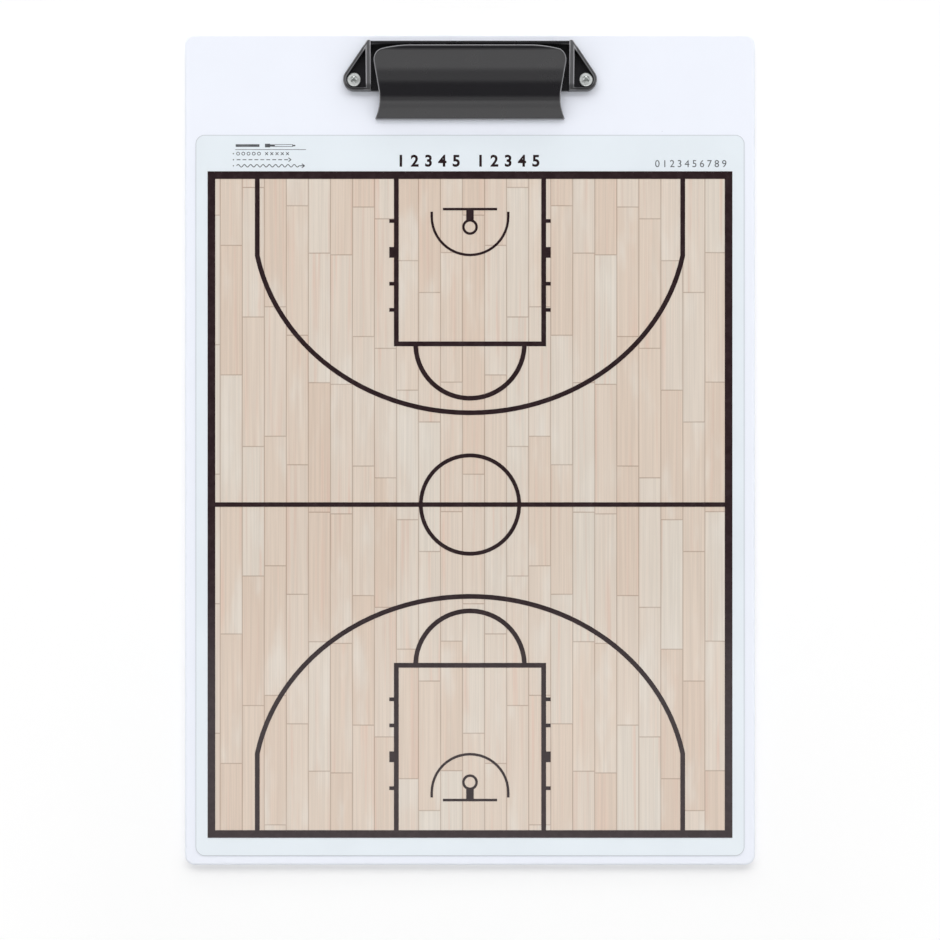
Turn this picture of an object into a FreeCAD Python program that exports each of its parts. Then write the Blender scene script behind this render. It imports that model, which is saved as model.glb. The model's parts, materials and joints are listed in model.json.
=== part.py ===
"""Tactics board: a white board with a printed court sheet and a sprung paper clip.

The board lies on its back, face up. X runs across it, Y towards the clip and Z out of the court face.
The origin is the centre of the board's back face. All lengths are in millimetres.
"""
import FreeCAD
import Part
import Sketcher
import math
import os

X_WAY = FreeCAD.Vector(1, 0, 0)
Y_WAY = FreeCAD.Vector(0, 1, 0)
Z_WAY = FreeCAD.Vector(0, 0, 1)

doc = FreeCAD.newDocument("TacticsBoard")
sheet = doc.addObject("Spreadsheet::Sheet", "Sizes")


# Named sizes: each is a cell of the sheet, and a formula in the pieces below.
class Size:
    """A number as it is now, with the sheet formula that gives it."""

    def __init__(self, value, formula):
        self.value = value
        self.formula = formula

    def __add__(self, other):
        other = as_size(other)
        return Size(self.value + other.value, f"({self.formula} + {other.formula})")

    def __sub__(self, other):
        other = as_size(other)
        return Size(self.value - other.value, f"({self.formula} - {other.formula})")

    def __mul__(self, other):
        other = as_size(other)
        return Size(self.value * other.value, f"({self.formula} * {other.formula})")

    def __truediv__(self, other):
        other = as_size(other)
        return Size(self.value / other.value, f"({self.formula} / {other.formula})")

    def __neg__(self):
        return Size(-self.value, f"(0 - {self.formula})")


def as_size(number):
    return number if isinstance(number, Size) else Size(number, repr(number))


def root(size):
    return Size(math.sqrt(size.value), f"sqrt({size.formula})")


def sine(angle):
    return Size(math.sin(math.radians(angle.value)), f"sin({angle.formula})")


def cosine(angle):
    return Size(math.cos(math.radians(angle.value)), f"cos({angle.formula})")


def angle_of_sine(share):
    return Size(math.degrees(math.asin(share.value)), f"asin({share.formula})")


def angle_of_tangent(share):
    return Size(math.degrees(math.atan(share.value)), f"atan({share.formula})")


rows = 0


def size(alias, value):
    """Writes one plain number into the next cell of the sheet, under its name."""
    global rows
    rows += 1
    sheet.set(f"A{rows}", alias)
    sheet.set(f"B{rows}", repr(value))
    sheet.setAlias(f"B{rows}", alias)
    return Size(value, f"Sizes.{alias}")


ZERO = as_size(0)

# Board
board_width = size("board_width", 240.0)
board_height = size("board_height", 350.0)
board_thick = size("board_thick", 4.0)
board_corner = size("board_corner", 4.0)
board_edge_round = size("board_edge_round", 1.2)

# Printed sheet: it lies inside the board's edges and ends before the clip's lip
sheet_side_margin = size("sheet_side_margin", 4.5)
sheet_margin = size("sheet_margin", 4.0)
sheet_clip_gap = size("sheet_clip_gap", 6.2)
sheet_thick = size("sheet_thick", 0.3)
sheet_corner = size("sheet_corner", 3.9)

# Court print: places along the court are measured from the outer edge of its end border
court_side_margin = size("court_side_margin", 5.1)
court_margin = size("court_margin", 7.6)
court_header = size("court_header", 15.35)
floor_thick = size("floor_thick", 0.08)
ink_thick = size("ink_thick", 0.08)
border_line = size("border_line", 3.2)
half_line = size("half_line", 1.9)
centre_radius = size("centre_radius", 20.7)
centre_line = size("centre_line", 1.65)
key_half = size("key_half", 31.0)
key_reach = size("key_reach", 72.6)
key_line = size("key_line", 2.0)
throw_radius = size("throw_radius", 22.9)
throw_line = size("throw_line", 1.95)
three_half = size("three_half", 89.5)
three_line = size("three_line", 2.0)
three_straight = size("three_straight", 35.4)
three_bulge = size("three_bulge", 1.6)
three_curve_place = size("three_curve_place", 20.3)
three_reach = size("three_reach", 101.6)
basket_line = size("basket_line", 1.05)
backboard_place = size("backboard_place", 15.9)
backboard_width = size("backboard_width", 22.8)
hoop_place = size("hoop_place", 23.4)
hoop_radius = size("hoop_radius", 3.3)
bracket_width = size("bracket_width", 3.15)
arc_radius = size("arc_radius", 16.1)
arc_place = size("arc_place", 19.1)
arc_leg = size("arc_leg", 2.1)
lane_reach = size("lane_reach", 1.95)
lane_tick = size("lane_tick", 1.55)
lane_block = size("lane_block", 4.5)
lane_tick_places = [
    size("lane_tick_low", 20.9),
    size("lane_tick_middle", 47.3),
    size("lane_tick_high", 58.3),
]
lane_block_place = size("lane_block_place", 34.1)

# Screws and barrel nuts
screw_from_top = size("screw_from_top", 19.8)
screw_radius = size("screw_radius", 1.475)
screw_tip_gap = size("screw_tip_gap", 0.1)
screw_chamfer = size("screw_chamfer", 0.3)
screw_hole_clearance = size("screw_hole_clearance", 0.225)
head_radius = size("head_radius", 2.9)
head_height = size("head_height", 2.1)
head_round = size("head_round", 0.9)
recess_half = size("recess_half", 1.55)
recess_wing = size("recess_wing", 0.8)
recess_depth = size("recess_depth", 1.2)
thread_clearance = size("thread_clearance", 0.025)
nut_wall = size("nut_wall", 0.6)
nut_floor = size("nut_floor", 0.8)
nut_head_radius = size("nut_head_radius", 4.5)
nut_head_thick = size("nut_head_thick", 1.0)
nut_sunk = size("nut_sunk", 0.1)
nut_slot = size("nut_slot", 1.0)
nut_slot_depth = size("nut_slot_depth", 0.5)
seat_clearance = size("seat_clearance", 0.1)

# Clip base
base_floor = size("base_floor", 2.0)
base_length = size("base_length", 20.25)
ear_reach = size("ear_reach", 5.0)
ear_rim = size("ear_rim", 1.4)
head_clearance = size("head_clearance", 0.25)
ear_tip = size("ear_tip", 1.6)
rim_front = size("rim_front", 3.2)
rim_over_back = size("rim_over_back", 1.2)
cheek_inside = size("cheek_inside", 41.5)
cheek_thick = size("cheek_thick", 2.2)
back_wall = size("back_wall", 1.6)
back_over_pin = size("back_over_pin", 1.6)
post_side_gap = size("post_side_gap", 3.4)
post_radius = size("post_radius", 2.6)
post_thick = size("post_thick", 2.3)
base_edge_round = size("base_edge_round", 0.55)

# Pivot pin
pin_radius = size("pin_radius", 1.25)
pin_from_front = size("pin_from_front", 7.85)
pin_inset = size("pin_inset", 0.2)
pin_chamfer = size("pin_chamfer", 0.25)
pin_press_fit = size("pin_press_fit", 0.01)
pin_running_fit = size("pin_running_fit", 0.05)

# Lever: distances along the board are counted from the pin, and gaps at its sides from the cheeks
lever_wall = size("lever_wall", 1.8)
lip_gap = size("lip_gap", 0.3)
lip_run = size("lip_run", 19.9)
lip_side_gap = size("lip_side_gap", 1.2)
crease_run = size("crease_run", 11.8)
crease_drop = size("crease_drop", 0.3)
saddle_run = size("saddle_run", 5.2)
saddle_dip = size("saddle_dip", 1.45)
tab_run = size("tab_run", 9.45)
tab_lift = size("tab_lift", 6.0)
tab_side_gap = size("tab_side_gap", 0.8)
tab_corner_drop = size("tab_corner_drop", 2.7)
tab_corner_round = size("tab_corner_round", 4.0)
shoulder_width = size("shoulder_width", 16.2)
waist_side_gap = size("waist_side_gap", 3.6)
waist_run = size("waist_run", 9.8)
flare_gap = size("flare_gap", 0.6)
waist_round = size("waist_round", 12.0)
lip_corner_round = size("lip_corner_round", 0.8)
bend_round = size("bend_round", 2.2)
lever_edge_round = size("lever_edge_round", 0.5)
lever_under_round = size("lever_under_round", 0.3)
lug_radius = size("lug_radius", 2.3)
lug_thick = size("lug_thick", 2.4)
lug_side_gap = size("lug_side_gap", 1.1)
lug_spacing = size("lug_spacing", 16.2)

# Springs
wire_radius = size("wire_radius", 0.45)
coil_radius = size("coil_radius", 2.3)
coil_gap = size("coil_gap", 0.5)
coil_floor_gap = size("coil_floor_gap", 0.45)
spring_side_gap = size("spring_side_gap", 1.66)
leg_length = size("leg_length", 7.6)
leg_seat_gap = size("leg_seat_gap", 0.08)
coil_turns = 6

# One overrun for all cuts
overrun = size("overrun", 1.0)

# Places that several pieces share
board_top = board_height / 2
cheek_outside = cheek_inside + cheek_thick
screw_place = board_top - screw_from_top
screw_half_spacing = cheek_outside + ear_reach
seat_level = board_thick + base_floor
ear_round = head_radius + head_clearance + ear_rim
base_front = screw_place - ear_round
base_back = base_front + base_length
pin_place = base_front + pin_from_front
pin_height = base_floor + coil_floor_gap + wire_radius + coil_radius
pin_level = board_thick + pin_height
saddle_over_pin = coil_radius + wire_radius - saddle_dip + lever_wall
post_outside = cheek_inside - post_side_gap
outer_lug_inside = post_outside - post_thick - lug_side_gap - lug_thick
court_face = board_thick + sheet_thick
ink_face = court_face + floor_thick
sheet_bottom = sheet_margin - board_top
sheet_top = pin_place - lip_run - sheet_clip_gap
sheet_half = board_width / 2 - sheet_side_margin
court_half = sheet_half - court_side_margin
court_bottom = sheet_bottom + court_margin
court_top = sheet_top - court_header
court_middle = (court_bottom + court_top) / 2


# Drawing helpers
def bind(thing, name, amount):
    """Ties a property of a thing to a size's formula."""
    thing.setExpression(name, amount.formula)


def move(thing, x, y, z):
    for axis, amount in zip("xyz", (x, y, z)):
        bind(thing, f"Placement.Base.{axis}", amount)


def make_box(name, low_x, high_x, low_y, high_y, low_z, height):
    box = doc.addObject("Part::Box", name)
    bind(box, "Length", high_x - low_x)
    bind(box, "Width", high_y - low_y)
    bind(box, "Height", height)
    move(box, low_x, low_y, low_z)
    return box


def make_disc(name, x, y, low_z, radius, height):
    disc = doc.addObject("Part::Cylinder", name)
    bind(disc, "Radius", radius)
    bind(disc, "Height", height)
    move(disc, x, y, low_z)
    return disc


def make_cut(name, base, tool):
    cut = doc.addObject("Part::Cut", name)
    cut.Base = base
    cut.Tool = tool
    return cut


def make_ring(name, x, y, radius, line):
    """A printed ring: its line lies half each side of the radius."""
    outer = make_disc(name + "_outer", x, y, ink_face, radius + line / 2, ink_thick)
    inner = make_disc(name + "_inner", x, y, ink_face, radius - line / 2, ink_thick)
    return make_cut(name, outer, inner)


def make_body(name):
    body = doc.addObject("PartDesign::Body", name)
    body.Label = name
    return body


def make_sketch(body, name, plane, offset=ZERO):
    """A sketch on one of the body's own origin planes, moved along that plane's normal."""
    sketch = body.newObject("Sketcher::SketchObject", name)
    support = [f for f in body.Origin.OriginFeatures if f.Role == plane][0]
    sketch.AttachmentSupport = [(support, "")]
    sketch.MapMode = "FlatFace"
    bind(sketch, "AttachmentOffset.Base.z", offset)
    return sketch


def hold(sketch, geometry, point, x, y):
    """Holds a point of the sketch at two distances from its origin."""
    for kind, amount in (("DistanceX", x), ("DistanceY", y)):
        index = sketch.addConstraint(Sketcher.Constraint(kind, -1, 1, geometry, point, amount.value))
        sketch.setExpression(f"Constraints[{index}]", amount.formula)


def hold_radius(sketch, geometry, radius):
    index = sketch.addConstraint(Sketcher.Constraint("Radius", geometry, radius.value))
    sketch.setExpression(f"Constraints[{index}]", radius.formula)


def tangent_round(run, rise):
    """The radius of an arc that starts along its run and rises by a height at the end of it."""
    return (run * run / rise + rise) / 2


def arc_between(start, end, radius, way):
    """An arc of under half a circle that turns to the left or to the right from start to end.

    A sketch keeps its arcs counter-clockwise, so one that turns right is laid from end to start.
    """
    chord = end - start
    left = FreeCAD.Vector(-chord.y, chord.x, 0).normalize()
    side = left if way == "left" else -left
    bulge = radius - math.sqrt(radius**2 - (chord.Length / 2) ** 2)
    middle = (start + end) / 2 - side * bulge
    return Part.Arc(start, middle, end) if way == "left" else Part.Arc(end, middle, start)


def draw_outline(sketch, corners):
    """A closed outline: a corner with a radius and a way starts an arc, and any other starts a line."""
    first = sketch.GeometryCount
    count = len(corners)
    points = [FreeCAD.Vector(corner[0].value, corner[1].value, 0) for corner in corners]
    ends = []
    for i, corner in enumerate(corners):
        start = points[i]
        end = points[(i + 1) % count]
        if len(corner) == 2:
            sketch.addGeometry(Part.LineSegment(start, end))
        else:
            sketch.addGeometry(arc_between(start, end, corner[2].value, corner[3]))
        ends.append((2, 1) if corner[-1] == "right" else (1, 2))
    for i, corner in enumerate(corners):
        after = (i + 1) % count
        sketch.addConstraint(
            Sketcher.Constraint("Coincident", first + i, ends[i][1], first + after, ends[after][0])
        )
        hold(sketch, first + i, ends[i][0], corner[0], corner[1])
        if len(corner) == 4:
            hold_radius(sketch, first + i, corner[2])


def draw_box(sketch, low_x, high_x, low_y, high_y):
    draw_outline(sketch, [(low_x, low_y), (high_x, low_y), (high_x, high_y), (low_x, high_y)])


def draw_circle(sketch, x, y, radius):
    circle = Part.Circle(FreeCAD.Vector(x.value, y.value, 0), Z_WAY, radius.value)
    index = sketch.addGeometry(circle)
    hold(sketch, index, 3, x, y)
    hold_radius(sketch, index, radius)


def pad(body, name, sketch, length, both_ways=False):
    feature = body.newObject("PartDesign::Pad", name)
    feature.Profile = sketch
    feature.Midplane = both_ways
    bind(feature, "Length", length)
    doc.recompute()
    return feature


def cut_away(body, name, sketch, depth=None, upwards=False):
    """A pocket: with no depth it goes through all, both ways. Says so if it removes nothing."""
    before = body.Shape.Volume
    feature = body.newObject("PartDesign::Pocket", name)
    feature.Profile = sketch
    if depth is None:
        feature.Type = "ThroughAll"
        feature.Midplane = True
    else:
        bind(feature, "Length", depth)
        feature.Reversed = upwards
    doc.recompute()
    if body.Shape.Volume >= before:
        raise RuntimeError(name + " cuts nothing")
    return feature


def mirror_across(body, name, features):
    """The same features again on the other side of the middle plane."""
    mirrored = body.newObject("PartDesign::Mirrored", name)
    mirrored.Originals = features
    plane = [f for f in body.Origin.OriginFeatures if f.Role == "YZ_Plane"][0]
    mirrored.MirrorPlane = (plane, [""])
    body.Tip = mirrored
    doc.recompute()
    return mirrored


def round_edges(body, name, radius, chosen):
    """Rounds each edge of the body for which chosen says yes."""
    base = body.Tip
    names = [f"Edge{i + 1}" for i, edge in enumerate(base.Shape.Edges) if chosen(edge)]
    if not names:
        raise RuntimeError(name + " finds no edge")
    feature = body.newObject("PartDesign::Fillet", name)
    feature.Base = (base, names)
    bind(feature, "Radius", radius)
    doc.recompute()
    if feature.Shape.isNull() or not feature.Shape.isValid():
        raise RuntimeError(name + " gives no valid solid")
    return feature


def same(a, b):
    """Two lengths that agree to a thousandth of the overrun."""
    return abs(a - b) < overrun.value / 1000


def flat_at(edge, level):
    """True for an edge that lies in the level plane."""
    box = edge.BoundBox
    return same(box.ZMin, level.value) and same(box.ZMax, level.value)


def upright(edge):
    box = edge.BoundBox
    return same(box.XLength, 0) and same(box.YLength, 0)


# Board: a white plastic panel, with two stepped holes that seat the barrel nuts from behind
panel = make_body("board_panel")
sketch = make_sketch(panel, "board_outline", "XY_Plane")
draw_box(sketch, -board_width / 2, board_width / 2, -board_top, board_top)
pad(panel, "board_pad", sketch, board_thick)
round_edges(panel, "board_corners", board_corner, upright)
round_edges(panel, "board_edges", board_edge_round, lambda edge: not upright(edge))
for name, radius, depth in (
    ("nut_seats", nut_head_radius + seat_clearance, nut_sunk + nut_head_thick),
    ("nut_holes", screw_radius + thread_clearance + nut_wall + seat_clearance, board_thick + overrun),
):
    sketch = make_sketch(panel, name + "_outline", "XY_Plane")
    for side in (-1, 1):
        draw_circle(sketch, screw_half_spacing * side, screw_place, radius)
    cut_away(panel, name, sketch, depth, upwards=True)

# Printed sheet: a film stuck on the face of the board
film = make_body("court_sheet")
sketch = make_sketch(film, "sheet_outline", "XY_Plane", board_thick)
draw_box(sketch, -sheet_half, sheet_half, sheet_bottom, sheet_top)
pad(film, "sheet_pad", sketch, sheet_thick)
round_edges(film, "sheet_corners", sheet_corner, upright)

# Printed floor: the wood strips under all the court's lines
court_floor = make_box(
    "court_floor", -court_half, court_half, court_bottom, court_top, court_face, floor_thick
)


# Court lines: one end is drawn at the clip's side and mirrored to the other
def ink_box(name, low_x, high_x, low_y, high_y):
    return make_box(name, low_x, high_x, low_y, high_y, ink_face, ink_thick)


def ink_across(name, half_width, place, line):
    """A line across the court, with its middle at a distance from the end."""
    middle = court_top - place
    return ink_box(name, -half_width, half_width, middle - line / 2, middle + line / 2)


def ink_along(name, x, line, near_end, far_end):
    """A line along the court, between two distances from the end."""
    return ink_box(name, x - line / 2, x + line / 2, court_top - far_end, court_top - near_end)


def half_ring(name, radius, line, place):
    """The half of a ring that points into the court."""
    ring = make_ring(name + "_ring", ZERO, court_top - place, radius, line)
    reach = radius + line
    back = ink_box(name + "_back", -reach, reach, court_top - place, court_top - place + reach)
    return make_cut(name, ring, back)


def three_point_curve():
    """The flat oval part of the three-point line, cut off where its straight parts begin."""
    centre = FreeCAD.Vector(0, court_top.value - three_curve_place.value, ink_face.value)
    reach = three_reach.value - three_curve_place.value
    half_width = three_half.value + three_bulge.value
    faces = []
    for side in (1, -1):
        grown = three_line.value / 2 * side
        axes = sorted((X_WAY * (half_width + grown), Y_WAY * (reach + grown)), key=lambda way: -way.Length)
        oval = Part.Ellipse(centre + axes[0], centre + axes[1], centre)
        faces.append(Part.Face(Part.Wire(oval.toShape())))
    band = faces[0].cut(faces[1]).extrude(Z_WAY * ink_thick.value)
    span = 2 * half_width
    corner = FreeCAD.Vector(-span / 2, court_top.value - three_straight.value - span, ink_face.value)
    curve = doc.addObject("Part::Feature", "three_point_curve")
    curve.Shape = band.common(Part.makeBox(span, span, ink_thick.value, corner))
    return curve


def basket_end():
    pieces = [
        ink_across("throw_line", key_half + key_line / 2, key_reach, key_line),
        half_ring("throw_half_circle", throw_radius, throw_line, key_reach),
        ink_across("backboard", backboard_width / 2, backboard_place, basket_line),
        make_ring("hoop", ZERO, court_top - hoop_place, hoop_radius - basket_line / 2, basket_line),
        ink_along("hoop_bracket", ZERO, bracket_width, backboard_place,
                  hoop_place - hoop_radius + basket_line / 2),
        half_ring("basket_arc", arc_radius, basket_line, arc_place),
        three_point_curve(),
    ]
    for side, word in ((-1, "left"), (1, "right")):
        key_x = key_half * side
        pieces.append(ink_along("key_" + word, key_x, key_line, border_line / 2, key_reach))
        pieces.append(
            ink_along("three_point_" + word, three_half * side, three_line, border_line / 2, three_straight)
        )
        pieces.append(
            ink_along("basket_arc_leg_" + word, arc_radius * side, basket_line, arc_place - arc_leg,
                      arc_place)
        )
        mark_x = key_x + (key_line + lane_reach) / 2 * side
        marks = [(place, lane_tick) for place in lane_tick_places] + [(lane_block_place, lane_block)]
        for number, (place, height) in enumerate(marks):
            pieces.append(
                ink_along(f"lane_mark_{word}_{number}", mark_x, lane_reach, place - height / 2,
                          place + height / 2)
            )
    end = doc.addObject("Part::MultiFuse", "basket_end")
    end.Shapes = pieces
    return end


near_end = basket_end()
far_end = doc.addObject("Part::Mirroring", "far_basket_end")
far_end.Source = near_end
far_end.Normal = (0, 1, 0)
bind(far_end, "Base.y", court_middle)

side_border = court_half - border_line
border = make_cut(
    "court_border",
    ink_box("border_outside", -court_half, court_half, court_bottom, court_top),
    ink_box("border_inside", -side_border, side_border, court_bottom + border_line,
            court_top - border_line),
)
half_court_line = ink_box(
    "half_court_line", -side_border - border_line / 2, side_border + border_line / 2,
    court_middle - half_line / 2, court_middle + half_line / 2
)
court_lines = doc.addObject("Part::MultiFuse", "court_lines")
court_lines.Shapes = [
    border,
    half_court_line,
    make_ring("centre_circle", ZERO, court_middle, centre_radius, centre_line),
    near_end,
    far_end,
]
court_lines.Refine = True

# Clip base: a black moulding with a floor, a back wall, and at each side a cheek with a triangular screw ear
base = make_body("clip_base")
sketch = make_sketch(base, "floor_outline", "XY_Plane", board_thick)
draw_box(sketch, -cheek_inside, cheek_inside, base_front, base_back)
pad(base, "floor", sketch, base_floor)

back_height = pin_height + back_over_pin
sketch = make_sketch(base, "back_wall_outline", "XY_Plane", board_thick)
draw_box(sketch, -cheek_inside, cheek_inside, base_back - back_wall, base_back)
pad(base, "back_wall_pad", sketch, back_height)

# The ear's long side runs from a tip at the cheek's back end, tangent to the round end about the screw
tip_place = cheek_inside + ear_tip
tip_reach = screw_half_spacing - tip_place
ear_run = base_back - screw_place
ear_span = root(tip_reach * tip_reach + ear_run * ear_run)
ear_slope = angle_of_tangent(tip_reach / ear_run) + angle_of_sine(ear_round / ear_span)


def ear_corners(inset, place):
    """The ear's outline from its front edge round to a place on its long side, drawn in by an inset."""
    end_round = ear_round - inset
    fall = ((place - tip_place) * cosine(ear_slope) + inset) / sine(ear_slope)
    return [
        (screw_half_spacing, base_front + inset, end_round, "left"),
        (screw_half_spacing + end_round * cosine(ear_slope), screw_place + end_round * sine(ear_slope)),
        (place, base_back - fall),
    ]


rim_back = back_height + rim_over_back
sketch = make_sketch(base, "ear_outline", "XY_Plane", board_thick)
cheek_corners = [(cheek_inside, base_back), (cheek_inside, base_front)]
draw_outline(sketch, cheek_corners + ear_corners(ZERO, tip_place))
ear = pad(base, "ear", sketch, rim_back)
sketch = make_sketch(base, "ear_recess_outline", "XY_Plane", board_thick + rim_back)
draw_outline(sketch, [(cheek_outside, base_front + ear_rim)] + ear_corners(ear_rim, cheek_outside))
ear_recess = cut_away(base, "ear_recess", sketch, rim_back - base_floor)
sketch = make_sketch(base, "screw_hole_outline", "XY_Plane", board_thick + rim_back)
draw_circle(sketch, screw_half_spacing, screw_place, screw_radius + screw_hole_clearance)
screw_hole = cut_away(base, "screw_hole", sketch, rim_back + overrun)

# The rim of each cheek and ear slopes down to the front
past_ear = screw_half_spacing + ear_round + overrun
front_level = board_thick + rim_front
back_level = board_thick + rim_back
over_rim = back_level + overrun
sketch = make_sketch(base, "rim_slope_outline", "YZ_Plane", past_ear)
slope_corners = [(base_front, front_level), (base_back, back_level)]
draw_outline(sketch, slope_corners + [(base_back, over_rim), (base_front, over_rim)])
rim_slope = cut_away(base, "rim_slope", sketch, past_ear - cheek_inside)

# The pin's posts stand on the floor, inside the cheeks
sketch = make_sketch(base, "post_outline", "YZ_Plane", post_outside - post_thick)
draw_circle(sketch, pin_place, pin_level, post_radius)
post = pad(base, "post", sketch, post_thick)
sketch = make_sketch(base, "post_web_outline", "YZ_Plane", post_outside - post_thick)
draw_box(sketch, pin_place - post_radius, pin_place + post_radius, seat_level - base_floor / 2, pin_level)
post_web = pad(base, "post_web", sketch, post_thick)
sketch = make_sketch(base, "pin_bore_outline", "YZ_Plane", post_outside)
draw_circle(sketch, pin_place, pin_level, pin_radius + pin_press_fit)
pin_bore = cut_away(base, "pin_bore", sketch, post_thick + overrun)
mirror_across(base, "other_side", [ear, ear_recess, screw_hole, rim_slope, post, post_web, pin_bore])

back_top = board_thick + back_height
rim_fall = (rim_back - rim_front) / base_length


def base_rim(edge):
    """The edges of the sloping rims, but for their back ends, and the top edges of the back wall."""
    points = [vertex.Point for vertex in edge.Vertexes]
    at_back = all(same(point.y, base_back.value) for point in points)
    levels = [back_level.value - rim_fall.value * (base_back.value - point.y) for point in points]
    on_rim = all(same(point.z, level) for point, level in zip(points, levels))
    across = same(edge.BoundBox.XLength, cheek_inside.value * 2)
    return (on_rim and not at_back) or (flat_at(edge, back_top) and across)


round_edges(base, "base_edges", base_edge_round, base_rim)

# Pivot pin: a steel pin, pressed into the posts, with its ends just below their outer faces
pin = make_body("pivot_pin")
sketch = make_sketch(pin, "pin_outline", "YZ_Plane")
draw_circle(sketch, pin_place, pin_level, pin_radius)
rod = pad(pin, "pin_pad", sketch, (post_outside - pin_inset) * 2, both_ways=True)
pin_ends = pin.newObject("PartDesign::Chamfer", "pin_ends")
pin_ends.Base = (rod, [f"Edge{i + 1}" for i, edge in enumerate(rod.Shape.Edges) if edge.isClosed()])
bind(pin_ends, "Size", pin_chamfer)
doc.recompute()

# Lever: a black plate bent into a jaw, a saddle and a thumb tab, with four lugs on the pin
# It is drawn about the pin's axis, and its body then goes where the pin is
lever = make_body("clip_lever")
move(lever, ZERO, pin_place, pin_level)
sketch = make_sketch(lever, "lever_profile", "YZ_Plane")
bends = [
    (-lip_run, lip_gap + lever_wall - pin_height),
    (-crease_run, saddle_over_pin - crease_drop),
    (-saddle_run, saddle_over_pin),
    (tab_run, saddle_over_pin + tab_lift),
]
draw_outline(sketch, [(y, z - lever_wall) for y, z in bends] + bends[::-1])
pad(lever, "lever_plate", sketch, cheek_inside * 2, both_ways=True)


def is_bend(edge):
    """The four edges across the plate where its profile bends."""
    middle = edge.CenterOfMass
    return any(
        same(middle.y, y.value) and (same(middle.z, z.value) or same(middle.z, z.value - lever_wall.value))
        for y, z in bends[1:3]
    )


round_edges(lever, "lever_bends", bend_round, is_bend)

# An upright block of the lever's outline trims the bent plate
tab_corner = tab_run - tab_corner_drop
tab_half = cheek_inside - tab_side_gap
tab_flat_half = tab_half - shoulder_width
lip_half = cheek_inside - lip_side_gap
waist_half = cheek_inside - waist_side_gap
shoulder_round = tangent_round(shoulder_width, tab_corner_drop)
flare_run = crease_run + flare_gap
flare_round = tangent_round(lip_run - flare_run, waist_side_gap - lip_side_gap)
block = make_body("lever_block")
sketch = make_sketch(block, "lever_outline", "XY_Plane", -pin_height)
draw_outline(sketch, [
    (-lip_half, -lip_run),
    (lip_half, -lip_run, flare_round, "right"),
    (waist_half, -flare_run),
    (waist_half, -waist_run),
    (tab_half, tab_corner, shoulder_round, "left"),
    (tab_flat_half, tab_run),
    (-tab_flat_half, tab_run, shoulder_round, "left"),
    (-tab_half, tab_corner),
    (-waist_half, -waist_run),
    (-waist_half, -flare_run, flare_round, "right"),
])
pad(block, "lever_block_pad", sketch, pin_height + saddle_over_pin + tab_lift + overrun)


def is_corner(level):
    return lambda edge: upright(edge) and same(edge.CenterOfMass.y, level.value)


round_edges(block, "waists", waist_round, is_corner(-waist_run))
round_edges(block, "tab_corners", tab_corner_round, is_corner(tab_corner))
round_edges(block, "lip_corners", lip_corner_round, is_corner(-lip_run))
trim = lever.newObject("PartDesign::Boolean", "lever_sides")
trim.Type = "Common"
trim.setObjects([block])
doc.recompute()


def middle_normal(face):
    low_u, high_u, low_v, high_v = face.ParameterRange
    return face.normalAt((low_u + high_u) / 2, (low_v + high_v) / 2)


def is_side(face):
    """True for a face that stands upright, such as the plate's cut sides."""
    return abs(middle_normal(face).z) < 1e-6


def skin_edge(way):
    """Picks the edges between the plate's cut sides and its upper skin, or its lower one."""
    def chosen(edge):
        skins = [face for face in lever.Tip.Shape.ancestorsOfType(edge, Part.Face) if not is_side(face)]
        return len(skins) == 1 and middle_normal(skins[0]).z * way > 0
    return chosen


round_edges(lever, "lever_top_edges", lever_edge_round, skin_edge(1))
round_edges(lever, "lever_under_edges", lever_under_round, skin_edge(-1))

tab_rise = tab_lift / (tab_run + saddle_run)


def inside_tab(run):
    """The height of the middle of the tab's wall over the pin, at a distance from the pin."""
    return saddle_over_pin - lever_wall / 2 + (saddle_run + run) * tab_rise


lugs = []
for name, inside in (("outer_lug", outer_lug_inside), ("inner_lug", outer_lug_inside - lug_spacing)):
    sketch = make_sketch(lever, name + "_outline", "YZ_Plane", inside)
    draw_circle(sketch, ZERO, ZERO, lug_radius)
    lugs.append(pad(lever, name, sketch, lug_thick))
    sketch = make_sketch(lever, name + "_web_outline", "YZ_Plane", inside)
    draw_outline(sketch, [
        (-lug_radius, ZERO),
        (lug_radius, ZERO),
        (lug_radius, inside_tab(lug_radius)),
        (-lug_radius, inside_tab(-lug_radius)),
    ])
    lugs.append(pad(lever, name + "_web", sketch, lug_thick))
mirror_across(lever, "other_lugs", lugs)
sketch = make_sketch(lever, "lever_bore_outline", "YZ_Plane")
draw_circle(sketch, ZERO, ZERO, pin_radius + pin_running_fit)
cut_away(lever, "lever_bore", sketch)


# Springs: one wire each, coiled round the pin, with one leg on the base's floor and one under the tab
def arc_to(start, way, end):
    """The arc that leaves start along way and reaches end."""
    chord = end - start
    normal = way.cross(chord).cross(way).normalize()
    radius = chord.dot(chord) / (2 * chord.dot(normal))
    centre = start + normal * radius
    middle = centre + ((start + end) / 2 - centre).normalize() * radius
    return Part.Arc(start, middle, end).toShape()


def biarc(start, start_way, end, end_way):
    """Two arcs that meet smoothly: each leaves its own end along that end's way."""
    chord = end - start
    ways = start_way + end_way
    a = 2 * (1 - start_way.dot(end_way))
    b = 2 * chord.dot(ways)
    reach = (math.sqrt(b * b + 4 * a * chord.dot(chord)) - b) / (2 * a)
    meeting = (start + start_way * reach + end - end_way * reach) / 2
    first = arc_to(start, start_way, meeting)
    last = arc_to(end, -end_way, meeting)
    return [first, last]


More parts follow.
